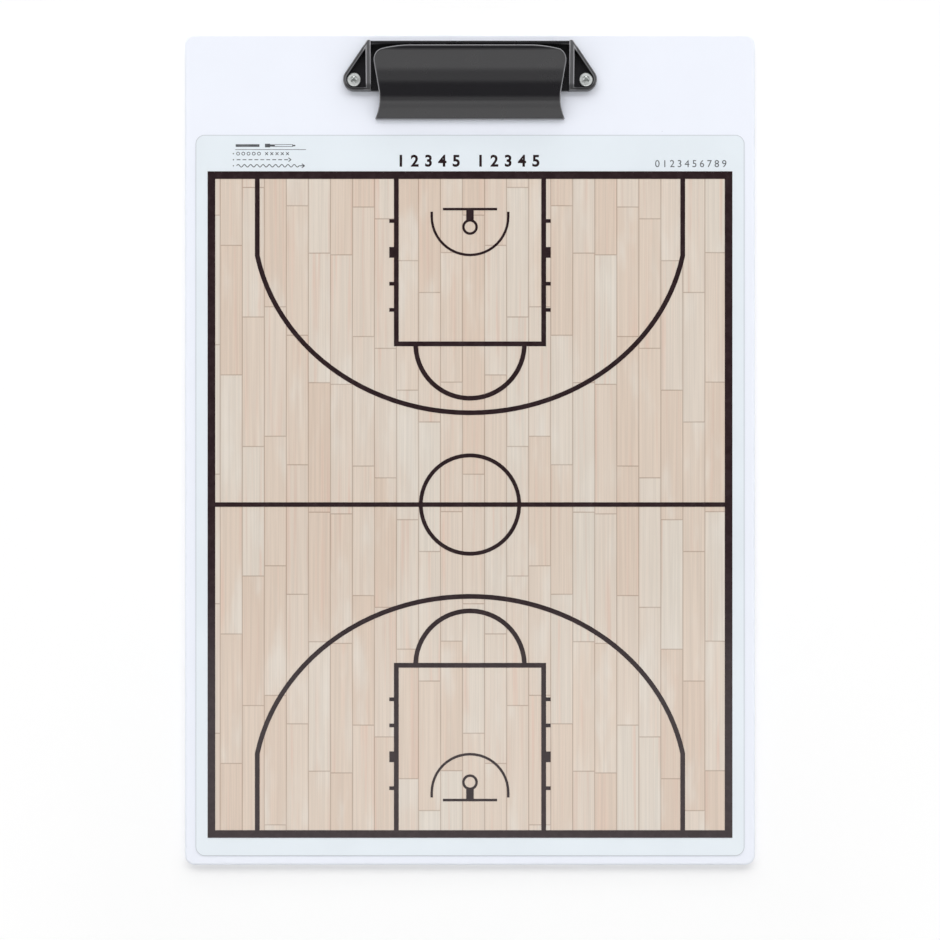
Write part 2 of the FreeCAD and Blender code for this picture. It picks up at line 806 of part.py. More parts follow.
tab_slope = angle_of_tangent(tab_rise).value
tab_slack = (
    saddle_run.value * math.sin(math.radians(tab_slope))
    + (saddle_over_pin.value - lever_wall.value) * math.cos(math.radians(tab_slope))
    - coil_radius.value - wire_radius.value - leg_seat_gap.value
)
floor_slack = coil_floor_gap.value - leg_seat_gap.value
tab_leg = math.radians(tab_slope) + math.asin(tab_slack / leg_length.value)
floor_leg = -math.asin(floor_slack / leg_length.value)
first_angle = floor_leg - math.pi / 2
last_angle = tab_leg + math.pi / 2 - 2 * math.pi * coil_turns
turn_step = (2 * wire_radius.value + coil_gap.value) / (2 * math.pi)
coil_length = (first_angle - last_angle) * turn_step
coil_inside = outer_lug_inside.value - spring_side_gap.value - wire_radius.value - coil_length
coil_centre = FreeCAD.Vector(coil_inside, pin_place.value, pin_level.value)


def on_coil(angle):
    along = X_WAY * ((angle - last_angle) * turn_step)
    return coil_centre + along + FreeCAD.Vector(0, math.cos(angle), math.sin(angle)) * coil_radius.value


def coil_way(angle):
    round_way = FreeCAD.Vector(0, math.sin(angle), -math.cos(angle)) * coil_radius.value
    return (round_way - X_WAY * turn_step).normalize()


def spring_wire():
    """The wire's middle line: a leg, quarter turns of the coil as biarcs, and the other leg."""
    quarters = math.ceil((first_angle - last_angle) / (math.pi / 2))
    angles = [first_angle + (last_angle - first_angle) * i / quarters for i in range(quarters + 1)]
    edges = [
        Part.LineSegment(on_coil(first_angle) - coil_way(first_angle) * leg_length.value,
                         on_coil(first_angle)).toShape()
    ]
    for start, end in zip(angles, angles[1:]):
        edges += biarc(on_coil(start), coil_way(start), on_coil(end), coil_way(end))
    edges.append(
        Part.LineSegment(on_coil(last_angle),
                         on_coil(last_angle) + coil_way(last_angle) * leg_length.value).toShape()
    )
    return Part.Wire(Part.__sortEdges__(edges))


def least_self_gap(wire):
    """The least gap between the wire's surface and itself, on points of its middle line."""
    points = wire.discretize(Distance=wire_radius.value / 2)
    step = wire.Length / (len(points) - 1)
    apart = math.ceil(math.pi * coil_radius.value / step)
    nearest = min(
        points[i].distanceToPoint(points[j])
        for i in range(len(points))
        for j in range(i + apart, len(points))
    )
    return nearest - 2 * wire_radius.value


wire = spring_wire()
start_way = coil_way(first_angle)
section = Part.Circle(on_coil(first_angle) - start_way * leg_length.value, start_way, wire_radius.value)
pipe = Part.BRepOffsetAPI.MakePipeShell(wire)
pipe.add(Part.Wire(section.toShape()))
pipe.build()
pipe.makeSolid()
right_coil = pipe.shape()
print("spring: least gap to itself", round(least_self_gap(wire), 3), "mm")
print("spring: volume against section times length",
      round(right_coil.Volume / (math.pi * wire_radius.value**2 * wire.Length), 4))
spring_right = doc.addObject("Part::Feature", "spring_right")
spring_right.Shape = right_coil
spring_left = doc.addObject("Part::Feature", "spring_left")
spring_left.Shape = right_coil.mirror(FreeCAD.Vector(0, 0, 0), X_WAY)


# Screws: pan heads with a cross recess, each in its own ear
screw_length = seat_level - nut_sunk - nut_floor - screw_tip_gap


def revolve(body, name, sketch):
    feature = body.newObject("PartDesign::Revolution", name)
    feature.Profile = sketch
    feature.ReferenceAxis = (sketch, ["V_Axis"])
    doc.recompute()
    return feature


def make_screw(name, side):
    body = make_body(name)
    move(body, screw_half_spacing * side, screw_place, seat_level)
    sketch = make_sketch(body, name + "_profile", "XZ_Plane")
    draw_outline(sketch, [
        (ZERO, -screw_length),
        (screw_radius - screw_chamfer, -screw_length),
        (screw_radius, screw_chamfer - screw_length),
        (screw_radius, ZERO),
        (head_radius, ZERO),
        (head_radius, head_height),
        (ZERO, head_height),
    ])
    revolve(body, name + "_turned", sketch)
    round_edges(
        body, name + "_crown", head_round,
        lambda edge: same(edge.BoundBox.ZMin, edge.BoundBox.ZMax)
        and same(edge.BoundBox.XLength, head_radius.value * 2)
        and edge.CenterOfMass.z > head_height.value / 2,
    )
    wing = recess_wing / 2
    for way, half_x, half_y in (("across", recess_half, wing), ("along", wing, recess_half)):
        sketch = make_sketch(body, f"{name}_recess_{way}_outline", "XY_Plane", head_height)
        draw_box(sketch, -half_x, half_x, -half_y, half_y)
        cut_away(body, f"{name}_recess_{way}", sketch, recess_depth)
    return body


# Barrel nuts: flanged sleeves pushed in from behind, with a slot for a driver
def make_nut(name, side):
    body = make_body(name)
    move(body, screw_half_spacing * side, screw_place, nut_sunk)
    sketch = make_sketch(body, name + "_profile", "XZ_Plane")
    top = board_thick - nut_sunk
    bore_radius = screw_radius + thread_clearance
    draw_outline(sketch, [
        (ZERO, ZERO),
        (nut_head_radius, ZERO),
        (nut_head_radius, nut_head_thick),
        (bore_radius + nut_wall, nut_head_thick),
        (bore_radius + nut_wall, top),
        (bore_radius, top),
        (bore_radius, nut_floor),
        (ZERO, nut_floor),
    ])
    revolve(body, name + "_turned", sketch)
    sketch = make_sketch(body, name + "_slot_outline", "XY_Plane")
    reach = nut_head_radius + overrun
    draw_box(sketch, -reach, reach, -nut_slot / 2, nut_slot / 2)
    cut_away(body, name + "_slot", sketch, nut_slot_depth, upwards=True)
    return body


fasteners = []
for side, word in ((-1, "left"), (1, "right")):
    fasteners.append(make_screw("clip_screw_" + word, side))
    fasteners.append(make_nut("barrel_nut_" + word, side))

# Check every object, then write one file for each piece
doc.recompute()
for thing in doc.Objects:
    if "Invalid" in thing.State or "Error" in thing.State:
        raise RuntimeError(f"{thing.Name} failed: {thing.State}")
pieces = [panel, film, court_floor, court_lines, base, pin, lever, spring_left, spring_right] + fasteners
for piece in pieces:
    if piece.Shape.isNull() or not piece.Shape.isValid():
        raise RuntimeError(f"{piece.Label} has no valid shape")
os.makedirs("parts", exist_ok=True)
for piece in pieces:
    piece.Shape.exportStep(os.path.join("parts", piece.Label + ".step"))
    print(piece.Label, round(piece.Shape.Volume, 2), len(piece.Shape.Solids))
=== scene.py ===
"""A tactics board: a white panel with a printed basketball court and a sprung black clip at its head."""

import json
import math

import bmesh
import bpy
import numpy as np
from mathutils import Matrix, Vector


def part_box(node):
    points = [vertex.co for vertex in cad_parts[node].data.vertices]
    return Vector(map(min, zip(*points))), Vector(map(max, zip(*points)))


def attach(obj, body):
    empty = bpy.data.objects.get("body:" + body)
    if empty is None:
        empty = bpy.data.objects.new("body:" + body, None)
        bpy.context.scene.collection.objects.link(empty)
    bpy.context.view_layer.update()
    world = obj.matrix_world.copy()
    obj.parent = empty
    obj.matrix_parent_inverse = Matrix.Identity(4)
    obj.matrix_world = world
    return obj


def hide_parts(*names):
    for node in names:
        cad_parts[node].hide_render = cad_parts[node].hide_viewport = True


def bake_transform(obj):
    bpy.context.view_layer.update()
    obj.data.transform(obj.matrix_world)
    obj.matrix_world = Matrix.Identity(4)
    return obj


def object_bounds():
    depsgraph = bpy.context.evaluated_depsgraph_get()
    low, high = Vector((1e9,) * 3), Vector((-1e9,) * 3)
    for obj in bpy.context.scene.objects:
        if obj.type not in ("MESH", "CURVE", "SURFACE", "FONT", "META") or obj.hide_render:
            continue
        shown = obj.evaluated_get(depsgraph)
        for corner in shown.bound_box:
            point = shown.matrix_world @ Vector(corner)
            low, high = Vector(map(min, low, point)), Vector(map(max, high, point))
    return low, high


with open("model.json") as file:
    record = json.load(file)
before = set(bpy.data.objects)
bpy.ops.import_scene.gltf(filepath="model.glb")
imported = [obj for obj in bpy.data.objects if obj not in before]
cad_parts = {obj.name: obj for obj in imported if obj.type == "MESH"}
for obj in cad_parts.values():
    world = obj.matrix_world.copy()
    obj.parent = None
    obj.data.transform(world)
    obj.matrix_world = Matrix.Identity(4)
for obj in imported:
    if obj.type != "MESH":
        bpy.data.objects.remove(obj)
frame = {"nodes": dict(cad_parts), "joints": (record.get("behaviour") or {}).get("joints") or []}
cad_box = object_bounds()
nodes = frame["nodes"]


# Board panel: a white sheet of plastic, 4 mm thick, that carries everything else.
# It is moulded with a fine satin skin and softly rounded edges, and has picked up a few marks.
board_white = (0.84, 0.87, 0.95, 1.0)
board_mark = (0.52, 0.53, 0.58, 1.0)
board_skin_depth = 0.000004
noise_middle = 0.5
tone_scale = 45.0
speck_scale = 260.0
speck_size = 0.07
smear_scale = 120.0
smear_stretch = (1.0, 0.35, 1.0)


def add_node(tree, kind, inputs=None, **settings):
    """Adds a node: inputs maps its sockets to values or to other nodes' outputs."""
    node = tree.nodes.new(kind)
    for name, value in settings.items():
        setattr(node, name, value)
    for socket, value in (inputs or {}).items():
        if isinstance(value, bpy.types.NodeSocket):
            tree.links.new(value, node.inputs[socket])
        else:
            node.inputs[socket].default_value = value
    return node


def maths(tree, operation, *values, clamp=False):
    """One step of arithmetic in the tree, as an output socket."""
    inputs = dict(enumerate(values))
    return add_node(tree, "ShaderNodeMath", inputs, operation=operation, use_clamp=clamp).outputs[0]


def vector_maths(tree, operation, first, second=(0.0, 0.0, 0.0)):
    """One step of arithmetic on vectors, as an output socket."""
    return add_node(tree, "ShaderNodeVectorMath", {0: first, 1: second}, operation=operation).outputs[0]


def scaled(tree, vector, factor):
    """A vector or a colour times a factor."""
    inputs = {0: vector, "Scale": factor}
    return add_node(tree, "ShaderNodeVectorMath", inputs, operation="SCALE").outputs[0]


def mix_colour(tree, amount, first, second):
    """Two colours mixed by an amount: the node's inputs 6 and 7 are its colours."""
    inputs = {0: amount, 6: first, 7: second}
    return add_node(tree, "ShaderNodeMix", inputs, data_type="RGBA").outputs[2]


def object_place(tree, stretch=(1.0, 1.0, 1.0)):
    """The place on the object in metres, stretched along each axis."""
    return vector_maths(tree, "MULTIPLY", add_node(tree, "ShaderNodeTexCoord").outputs["Object"], stretch)


def noise(tree, vector, scale, detail=2.0, rough=0.5):
    """A soft random value from 0 to 1."""
    inputs = {"Vector": vector, "Scale": scale, "Detail": detail, "Roughness": rough}
    return add_node(tree, "ShaderNodeTexNoise", inputs).outputs[0]


def swing(tree, value, amount):
    """A soft random value, moved to swing about zero, times an amount."""
    return maths(tree, "MULTIPLY", maths(tree, "SUBTRACT", value, noise_middle), amount)


def make_group(name, inputs, outputs):
    """An empty node group, whose sockets are given as names and kinds."""
    group = bpy.data.node_groups.new(name, "ShaderNodeTree")
    for in_out, sockets in (("INPUT", inputs), ("OUTPUT", outputs)):
        for socket_name, kind in sockets.items():
            group.interface.new_socket(socket_name, in_out=in_out, socket_type="NodeSocket" + kind)
    given = group.nodes.new("NodeGroupInput").outputs
    result = group.nodes.new("NodeGroupOutput").inputs
    return group, given, result


def use_group(tree, group, inputs):
    """Places a group in a material's tree, with its own values, and gives its outputs."""
    return add_node(tree, "ShaderNodeGroup", inputs, node_tree=group).outputs


def new_material(name, metallic=0.0):
    """A material with one Principled shader, its tree and that shader."""
    material = bpy.data.materials.new(name)
    material.use_nodes = True
    tree = material.node_tree
    shader = tree.nodes["Principled BSDF"]
    shader.inputs["Metallic"].default_value = metallic
    return material, tree, shader


def add_bump(tree, shader, height, depth):
    """Raises the surface by a height from 0 to 1, times a depth in metres."""
    bump = add_node(tree, "ShaderNodeBump", {"Height": height, "Distance": depth, "Strength": 1.0})
    tree.links.new(bump.outputs[0], shader.inputs["Normal"])


def dress(node_name, material):
    """Gives a part of the frame its finish."""
    slots = nodes[node_name].data.materials
    slots.clear()
    slots.append(material)


def moulded_skin_group():
    """Moulded plastic: a fine grain, a slow change of tone, and small specks of dust."""
    group, given, result = make_group(
        "moulded_skin",
        {"Color": "Color", "Speck Color": "Color", "Speck Share": "Float", "Tone Change": "Float",
         "Roughness": "Float", "Roughness Change": "Float", "Grain Scale": "Float"},
        {"Color": "Color", "Roughness": "Float", "Height": "Float"},
    )
    place = object_place(group)
    tone = noise(group, place, tone_scale, detail=3.0)
    bright = maths(group, "ADD", swing(group, tone, given["Tone Change"]), 1.0)
    toned = scaled(group, given["Color"], bright)
    cells = add_node(group, "ShaderNodeTexVoronoi", {"Vector": place, "Scale": speck_scale}).outputs
    chance = add_node(group, "ShaderNodeSeparateColor", {0: cells["Color"]}).outputs
    dot_size = maths(group, "MULTIPLY", chance["Green"], speck_size)
    dot = maths(group, "LESS_THAN", cells["Distance"], dot_size)
    kept = maths(group, "LESS_THAN", chance["Red"], given["Speck Share"])
    speck = maths(group, "MULTIPLY", maths(group, "MULTIPLY", dot, kept), chance["Blue"])
    colour = mix_colour(group, speck, toned, given["Speck Color"])
    grain = noise(group, place, given["Grain Scale"], rough=0.6)
    smears = noise(group, object_place(group, smear_stretch), smear_scale, detail=4.0, rough=0.6)
    rough = maths(group, "ADD", given["Roughness"], swing(group, smears, given["Roughness Change"]))
    for socket, value in (("Color", colour), ("Roughness", rough), ("Height", grain)):
        group.links.new(value, result[socket])
    return group


moulded_skin = moulded_skin_group()


def moulded_plastic(name, skin_depth, settings, highlight=None):
    """A plastic finish from the moulded skin: a painted highlight, where it is given, changes its colour in
    the tree.
    """
    material, tree, shader = new_material(name)
    skin = use_group(tree, moulded_skin, settings)
    colour = highlight(tree, skin["Color"]) if highlight else skin["Color"]
    tree.links.new(colour, shader.inputs["Base Color"])
    tree.links.new(skin["Roughness"], shader.inputs["Roughness"])
    add_bump(tree, shader, skin["Height"], skin_depth)
    return material


dress("board_panel", moulded_plastic("board_plastic", board_skin_depth, {
    "Color": board_white, "Speck Color": board_mark, "Speck Share": 0.03, "Tone Change": 0.03,
    "Roughness": 0.42, "Roughness Change": 0.12, "Grain Scale": 1800.0,
}))


# Printed sheet: a pale film with rounded corners, stuck on the board's face.
# A thin grey line is drawn along its outline, and its face is smooth and faintly rippled.
film_pale = (0.805, 0.865, 0.915)
film_edge = (0.55, 0.58, 0.62, 1.0)
film_edge_width = 0.0004
film_edge_full = film_edge_width / 3
film_corner = 0.0039
film_rough = 0.15
film_smudge = 0.04
film_smudge_scale = 60.0
film_ripple_scale = 25.0
film_ripple_depth = 0.00002
film_tone_scale = 30.0
film_tones = (0.985, 1.015)
noise_span = (0.3, 0.7)
none_to_full = (0.0, 1.0)
any_height = 1.0


def remap(tree, value, span, target, change="SMOOTHSTEP"):
    """A value over a span, changed to a target span: smoothly, or in a straight line."""
    inputs = {"Value": value, "From Min": span[0], "From Max": span[1]}
    inputs.update({"To Min": target[0], "To Max": target[1]})
    return add_node(tree, "ShaderNodeMapRange", inputs, interpolation_type=change).outputs[0]


def way_past(tree, middle, half_width, half_length):
    """How far a place lies past a rectangle: zero inside it, and outside the distance to its edge."""
    folded = vector_maths(tree, "ABSOLUTE", vector_maths(tree, "SUBTRACT", object_place(tree), middle))
    past = vector_maths(tree, "SUBTRACT", folded, (half_width, half_length, any_height))
    outside = vector_maths(tree, "MAXIMUM", past)
    return add_node(tree, "ShaderNodeVectorMath", {0: outside}, operation="LENGTH").outputs["Value"]


def film_face_group():
    """A smooth film: soft smudges in its gloss, and a long shallow ripple."""
    group, given, result = make_group(
        "film_face",
        {"Roughness": "Float", "Smudge": "Float"},
        {"Roughness": "Float", "Height": "Float"},
    )
    place = object_place(group)
    smudge = noise(group, place, film_smudge_scale, detail=4.0, rough=0.6)
    rough = maths(group, "ADD", given["Roughness"], swing(group, smudge, given["Smudge"]))
    group.links.new(rough, result["Roughness"])
    group.links.new(noise(group, place, film_ripple_scale), result["Height"])
    return group


film_face = film_face_group()


def film_gloss(tree, shader):
    """Ties the film's gloss and ripple to a material."""
    face = use_group(tree, film_face, {"Roughness": film_rough, "Smudge": film_smudge})
    tree.links.new(face["Roughness"], shader.inputs["Roughness"])
    add_bump(tree, shader, face["Height"], film_ripple_depth)


def film_material():
    """The film: its edge line lies where the distance to the rounded outline is small."""
    material, tree, shader = new_material("sheet_film")
    low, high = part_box("court_sheet")
    half = (high - low) / 2
    past = way_past(tree, (low + high) / 2, half.x - film_corner, half.y - film_corner)
    edge = remap(tree, past, (film_corner - film_edge_width, film_corner - film_edge_full), none_to_full)
    clouds = noise(tree, object_place(tree), film_tone_scale, detail=3.0)
    toned = scaled(tree, film_pale, remap(tree, clouds, noise_span, film_tones))
    tree.links.new(mix_colour(tree, edge, toned, film_edge), shader.inputs["Base Color"])
    film_gloss(tree, shader)
    return material


dress("court_sheet", film_material())


# Printed floor: narrow strips of pale wood, printed on the film inside the border.
# Each strip has its own tone and grain, and its joints are staggered from strip to strip.
strip_pitch = 0.00927
strip_length = 0.0545
first_strip = 0.0021
border_width = 0.0032
# Where the first joint of each strip lies, as a share of a strip's length, for twelve strips in turn.
joint_shares = (0.513, 0.066, 0.987, 0.207, 0.573, 0.586, 0.217, 0.308, 0.631, 0.877, 0.569, 0.280)
half_step = 0.5
strip_tones = (
    (0.0, (0.695, 0.566, 0.466, 1.0)),
    (0.35, (0.72, 0.605, 0.507, 1.0)),
    (0.65, (0.727, 0.626, 0.535, 1.0)),
    (1.0, (0.727, 0.657, 0.575, 1.0)),
)
strip_seed = 7.0
strip_shift = 40.0
streak_scale = (1500.0, 16.0, 0.0)
streak_shades = (0.945, 1.045)
band_scale = (420.0, 9.0, 0.0)
drift_scale = (90.0, 22.0, 0.0)
strip_blush = (0.715, 0.538, 0.441, 1.0)
blush_bands = (0.5, 0.72)
blush_amount = (0.0, 0.8)
blush_drift = (0.35, 0.6)
strip_pale = (0.762, 0.702, 0.627, 1.0)
pale_drift = (0.5, 0.25)
pale_amount = (0.0, 0.75)
seam_brown = (0.36, 0.24, 0.175, 1.0)
seam_width = 0.0004
seam_core = seam_width * 0.25
seam_end = seam_width * 0.85
seam_drift = (0.2, 0.7)
seam_amount = (0.4, 0.66)
full_to_none = (1.0, 0.0)


def ramp(tree, value, stops, interpolation="LINEAR"):
    """A colour looked up along a row of stops."""
    node = add_node(tree, "ShaderNodeValToRGB", {0: value})
    node.color_ramp.interpolation = interpolation
    elements = node.color_ramp.elements
    while len(elements) < len(stops):
        elements.new(1.0)
    for element, (position, colour) in zip(elements, stops):
        element.position = position
        element.color = colour
    return node.outputs[0]


def grey(level):
    """A grey of a level, as a colour."""
    return (level, level, level, 1.0)


def floor_material():
    """Strips counted across the floor, and joints counted along each strip from its own start."""
    material, tree, shader = new_material("floor_print")
    low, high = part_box("court_floor")
    start_x = low.x + border_width + first_strip
    start_y = high.y - border_width
    axes = add_node(tree, "ShaderNodeSeparateXYZ", {0: object_place(tree)}).outputs
    across = maths(tree, "DIVIDE", maths(tree, "SUBTRACT", axes["X"], start_x), strip_pitch)
    column = maths(tree, "FLOOR", across)
    count = len(joint_shares)
    wrapped = maths(tree, "ADD", maths(tree, "FLOORED_MODULO", column, count), half_step)
    stops = [(i / count, grey(share)) for i, share in enumerate(joint_shares)]
    start = ramp(tree, maths(tree, "DIVIDE", wrapped, count), stops, "CONSTANT")
    travel = maths(tree, "DIVIDE", maths(tree, "SUBTRACT", start_y, axes["Y"]), strip_length)
    along = maths(tree, "SUBTRACT", travel, start)
    row = maths(tree, "FLOOR", along)
    strip = add_node(tree, "ShaderNodeCombineXYZ", {0: column, 1: row, 2: strip_seed}).outputs[0]
    chance = add_node(tree, "ShaderNodeTexWhiteNoise", {"Vector": strip}, noise_dimensions="3D").outputs
    own_shift = scaled(tree, chance["Color"], strip_shift)

    def grain(scale):
        """Noise drawn out along the strips, shifted for each strip."""
        shifted = vector_maths(tree, "ADD", object_place(tree, scale), own_shift)
        return noise(tree, shifted, 1.0, detail=3.0, rough=0.55)

    def seam(count_along, step):
        """One on a seam and zero away from it: the distance to the nearest whole count, times the step."""
        part = maths(tree, "FRACT", count_along)
        nearest = maths(tree, "MINIMUM", part, maths(tree, "SUBTRACT", 1.0, part))
        return remap(tree, maths(tree, "MULTIPLY", nearest, step), (seam_core, seam_end), full_to_none)

    streaks = grain(streak_scale)
    bands = grain(band_scale)
    drift = grain(drift_scale)
    colour = ramp(tree, chance["Value"], strip_tones)
    in_band = remap(tree, bands, blush_bands, blush_amount)
    blush = maths(tree, "MULTIPLY", in_band, remap(tree, drift, blush_drift, none_to_full))
    colour = mix_colour(tree, blush, colour, strip_blush)
    colour = mix_colour(tree, remap(tree, drift, pale_drift, pale_amount), colour, strip_pale)
    colour = scaled(tree, colour, remap(tree, streaks, noise_span, streak_shades))
    seams = maths(tree, "MAXIMUM", seam(across, strip_pitch), seam(along, strip_length))
    faded = maths(tree, "MULTIPLY", seams, remap(tree, drift, seam_drift, seam_amount))
    tree.links.new(mix_colour(tree, faded, colour, seam_brown), shader.inputs["Base Color"])
    film_gloss(tree, shader)
    return material


dress("court_floor", floor_material())


# Court lines: dark ink printed over the floor, for the border, the keys, the arcs and the circles.
# The ink is a brownish black, and it dries a little unevenly under the film's gloss.
ink_dark = (0.022, 0.0105, 0.0125, 1.0)
ink_worn = (0.034, 0.019, 0.0215, 1.0)
ink_patch_scale = 350.0
ink_patch_span = (0.35, 0.75)


def ink_material(name, dark, worn):
    """Ink that changes between two tones over a few millimetres."""
    material, tree, shader = new_material(name)
    patches = noise(tree, object_place(tree), ink_patch_scale, detail=4.0, rough=0.6)
    worn_share = remap(tree, patches, ink_patch_span, none_to_full)
    tree.links.new(mix_colour(tree, worn_share, dark, worn), shader.inputs["Base Color"])
    film_gloss(tree, shader)
    return material


line_print = ink_material("line_print", ink_dark, ink_worn)
dress("court_lines", line_print)


# Header print: marks on the sheet above the court, in the same ink and in a greyer one, printed flat.
# They are a row of player numbers, a small row of digits, and a key of play signs beside a pen.
ink_grey = (0.085, 0.088, 0.098, 1.0)
ink_grey_worn = (0.15, 0.155, 0.165, 1.0)
sheet_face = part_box("court_sheet")[1].z
mark_thick = 0.00003
mark_sunk = 0.00001
mark_top = sheet_face + mark_thick
mark_base = sheet_face - mark_sunk
weld_distance = 2e-7
sharp_angle = math.radians(40)
digit_weld = 0.0005
digit_curve_steps = 4
digit_half_thick = 0.5
ring_points = 20
arrow_spread = 0.7
fine_width = 0.0003
bold_width = fine_width * 1.2
key_left = -0.0998
key_width = 0.0308
rule_start = 0.001
rule_width = 0.00022
rule_y = 0.1262
pen_y = 0.1279
bar_start = 0.0012
bar_end = 0.0112
bar_width = 0.0011
pen_start = 0.0135
pen_cap_length = 0.0022
pen_cap_width = 0.0015
pen_collar_length = 0.002
pen_collar_width = 0.0009
pen_barrel_length = 0.0076
pen_barrel_half = 0.0004
pen_tip_sunk = 0.0003
pen_tip_reach = 0.001
pen_tip_width = 0.0006
players_y = 0.1245
pass_y = 0.12195
dribble_y = 0.1194
dot_size = 0.0005
player_count = 5
player_step = 0.0022
first_ring = 0.0022
ring_radius = 0.00062
first_cross = 0.0142
cross_reach = 0.0006
path_start = 0.0016
dash_count = 9
dash_step = 0.0025
dash_length = 0.0016
pass_end = 0.0245
pass_head = 0.0011
wave_count = 10
wave_length = 0.0262
wave_height = 0.00055
wave_points = 90
dribble_end = 0.0302
dribble_head = 0.0012
stub_gap = 0.0001


def grid_quads(rows, columns):
    """The quads between neighbouring points of a grid, which closes on itself along each row."""
    first = np.arange(rows - 1)[:, None] * columns
    j = np.arange(columns)[None, :]
    after = (j + 1) % columns
    corners = [first + j, first + after, first + columns + after, first + columns + j]
    return np.stack(corners, -1).reshape(-1, 4)


def add_piece(name, mesh, material):
    """Shows a mesh as a piece of the object, in its finish."""
    mesh.materials.clear()
    mesh.materials.append(material)
    piece = bpy.data.objects.new(name, mesh)
    bpy.context.scene.collection.objects.link(piece)
    return piece


def make_piece(name, grids, material):
    """One object from several grids of points, each closed along its rows, with doubles merged."""
    points = np.concatenate([grid.reshape(-1, 3) for grid in grids])
    starts = np.cumsum([0] + [grid.shape[0] * grid.shape[1] for grid in grids])
    quads = np.concatenate([grid_quads(*grid.shape[:2]) + start for grid, start in zip(grids, starts)])
    mesh = bpy.data.meshes.new(name)
    mesh.from_pydata(points.tolist(), [], quads.tolist())
    work = bmesh.new()
    work.from_mesh(mesh)
    bmesh.ops.remove_doubles(work, verts=work.verts, dist=weld_distance)
    bmesh.ops.recalc_face_normals(work, faces=work.faces)
    work.to_mesh(mesh)
    work.free()
    mesh.shade_smooth()
    mesh.set_sharp_from_angle(angle=sharp_angle)
    return add_piece(name, mesh, material)


def stroke(path, width, closed=False):
    """A printed line: a thin flat box of a width, carried along a path of points on the sheet."""
    path = np.asarray(path, float)
    if closed:
        way = np.roll(path, -1, 0) - np.roll(path, 1, 0)
    else:
        way = np.gradient(path, axis=0)
    way /= np.linalg.norm(way, axis=1, keepdims=True)
    side = np.stack([-way[:, 1], way[:, 0]], -1) * width / 2
    low = np.full((len(path), 1), mark_base)
    high = np.full((len(path), 1), mark_top)
    rings = np.stack([
        np.hstack([path - side, low]), np.hstack([path + side, low]),
        np.hstack([path + side, high]), np.hstack([path - side, high]),
    ], 1)
    if closed:
        return np.concatenate([rings, rings[:1]])
    first, last = [np.repeat(ring.mean(0, keepdims=True), len(ring), 0)[None] for ring in rings[[0, -1]]]
    return np.concatenate([first, rings, last])


def line(x0, y0, x1, y1, width):
    """A straight printed line."""
    return stroke([(x0, y0), ((x0 + x1) / 2, (y0 + y1) / 2), (x1, y1)], width)


def key_line(start, end, y, width):
    """A line along the sheet, between two distances from the key's left end."""
    return line(key_left + start, y, key_left + end, y, width)


def loop(x, y, radius, width):
    """A printed ring."""
    angle = np.linspace(0, 2 * np.pi, ring_points, endpoint=False)
    return stroke(np.stack([x + radius * np.cos(angle), y + radius * np.sin(angle)], -1), width, closed=True)


def arrow_head(x, y, reach, width):
    """Two short strokes that meet in a point."""
    spread = reach * arrow_spread
    return [line(x - reach, y + spread, x, y, width), line(x - reach, y - spread, x, y, width)]


def play_key():
    """A bar and a pen over a rule, then rows of players, a pass in dashes and a dribble as a sine wave."""
    pen_collar = pen_start + pen_cap_length
    pen_barrel = pen_collar + pen_collar_length
    pen_end = pen_barrel + pen_barrel_length
    parts = [
        key_line(rule_start, key_width, rule_y, rule_width),
        key_line(bar_start, bar_end, pen_y, bar_width),
        key_line(pen_start, pen_collar, pen_y, pen_cap_width),
        key_line(pen_collar, pen_barrel, pen_y, pen_collar_width),
        key_line(pen_barrel, pen_end, pen_y + pen_barrel_half, rule_width),
        key_line(pen_barrel, pen_end, pen_y - pen_barrel_half, rule_width),
        key_line(pen_end - pen_tip_sunk, pen_end + pen_tip_reach, pen_y, pen_tip_width),
    ]
    parts += [key_line(0.0, dot_size, y, dot_size) for y in (players_y, pass_y, dribble_y)]
    low = players_y - cross_reach
    high = players_y + cross_reach
    for i in range(player_count):
        parts.append(loop(key_left + first_ring + i * player_step, players_y, ring_radius, fine_width))
        x = key_left + first_cross + i * player_step
        parts.append(line(x - cross_reach, low, x + cross_reach, high, fine_width))
        parts.append(line(x - cross_reach, high, x + cross_reach, low, fine_width))
    for i in range(dash_count):
        start = path_start + i * dash_step
        parts.append(key_line(start, start + dash_length, pass_y, bold_width))
    parts += arrow_head(key_left + pass_end, pass_y, pass_head, bold_width)
    along = np.linspace(0, wave_length, wave_points)
    rise = wave_height * np.sin(along / wave_length * wave_count * 2 * np.pi)
    parts.append(stroke(np.stack([key_left + path_start + along, dribble_y + rise], -1), bold_width))
    parts.append(key_line(path_start + wave_length, dribble_end - stub_gap, dribble_y, bold_width))
    parts += arrow_head(key_left + dribble_end, dribble_y, dribble_head, bold_width)
    return parts


def fill_digits(mesh):
    """Merges the digits' double points, and fills their flat faces anew with fuller triangles."""
    work = bmesh.new()
    work.from_mesh(mesh)
    bmesh.ops.remove_doubles(work, verts=work.verts, dist=digit_weld)
    bmesh.ops.triangulate(work, faces=work.faces)
    flat = [face for face in work.faces if len({vert.co.z > 0 for vert in face.verts}) == 1]
    known = set(flat)
    inner = [edge for edge in work.edges if known.issuperset(edge.link_faces)]
    bmesh.ops.beautify_fill(work, faces=flat, edges=inner, method="AREA")
    work.to_mesh(mesh)
    work.free()


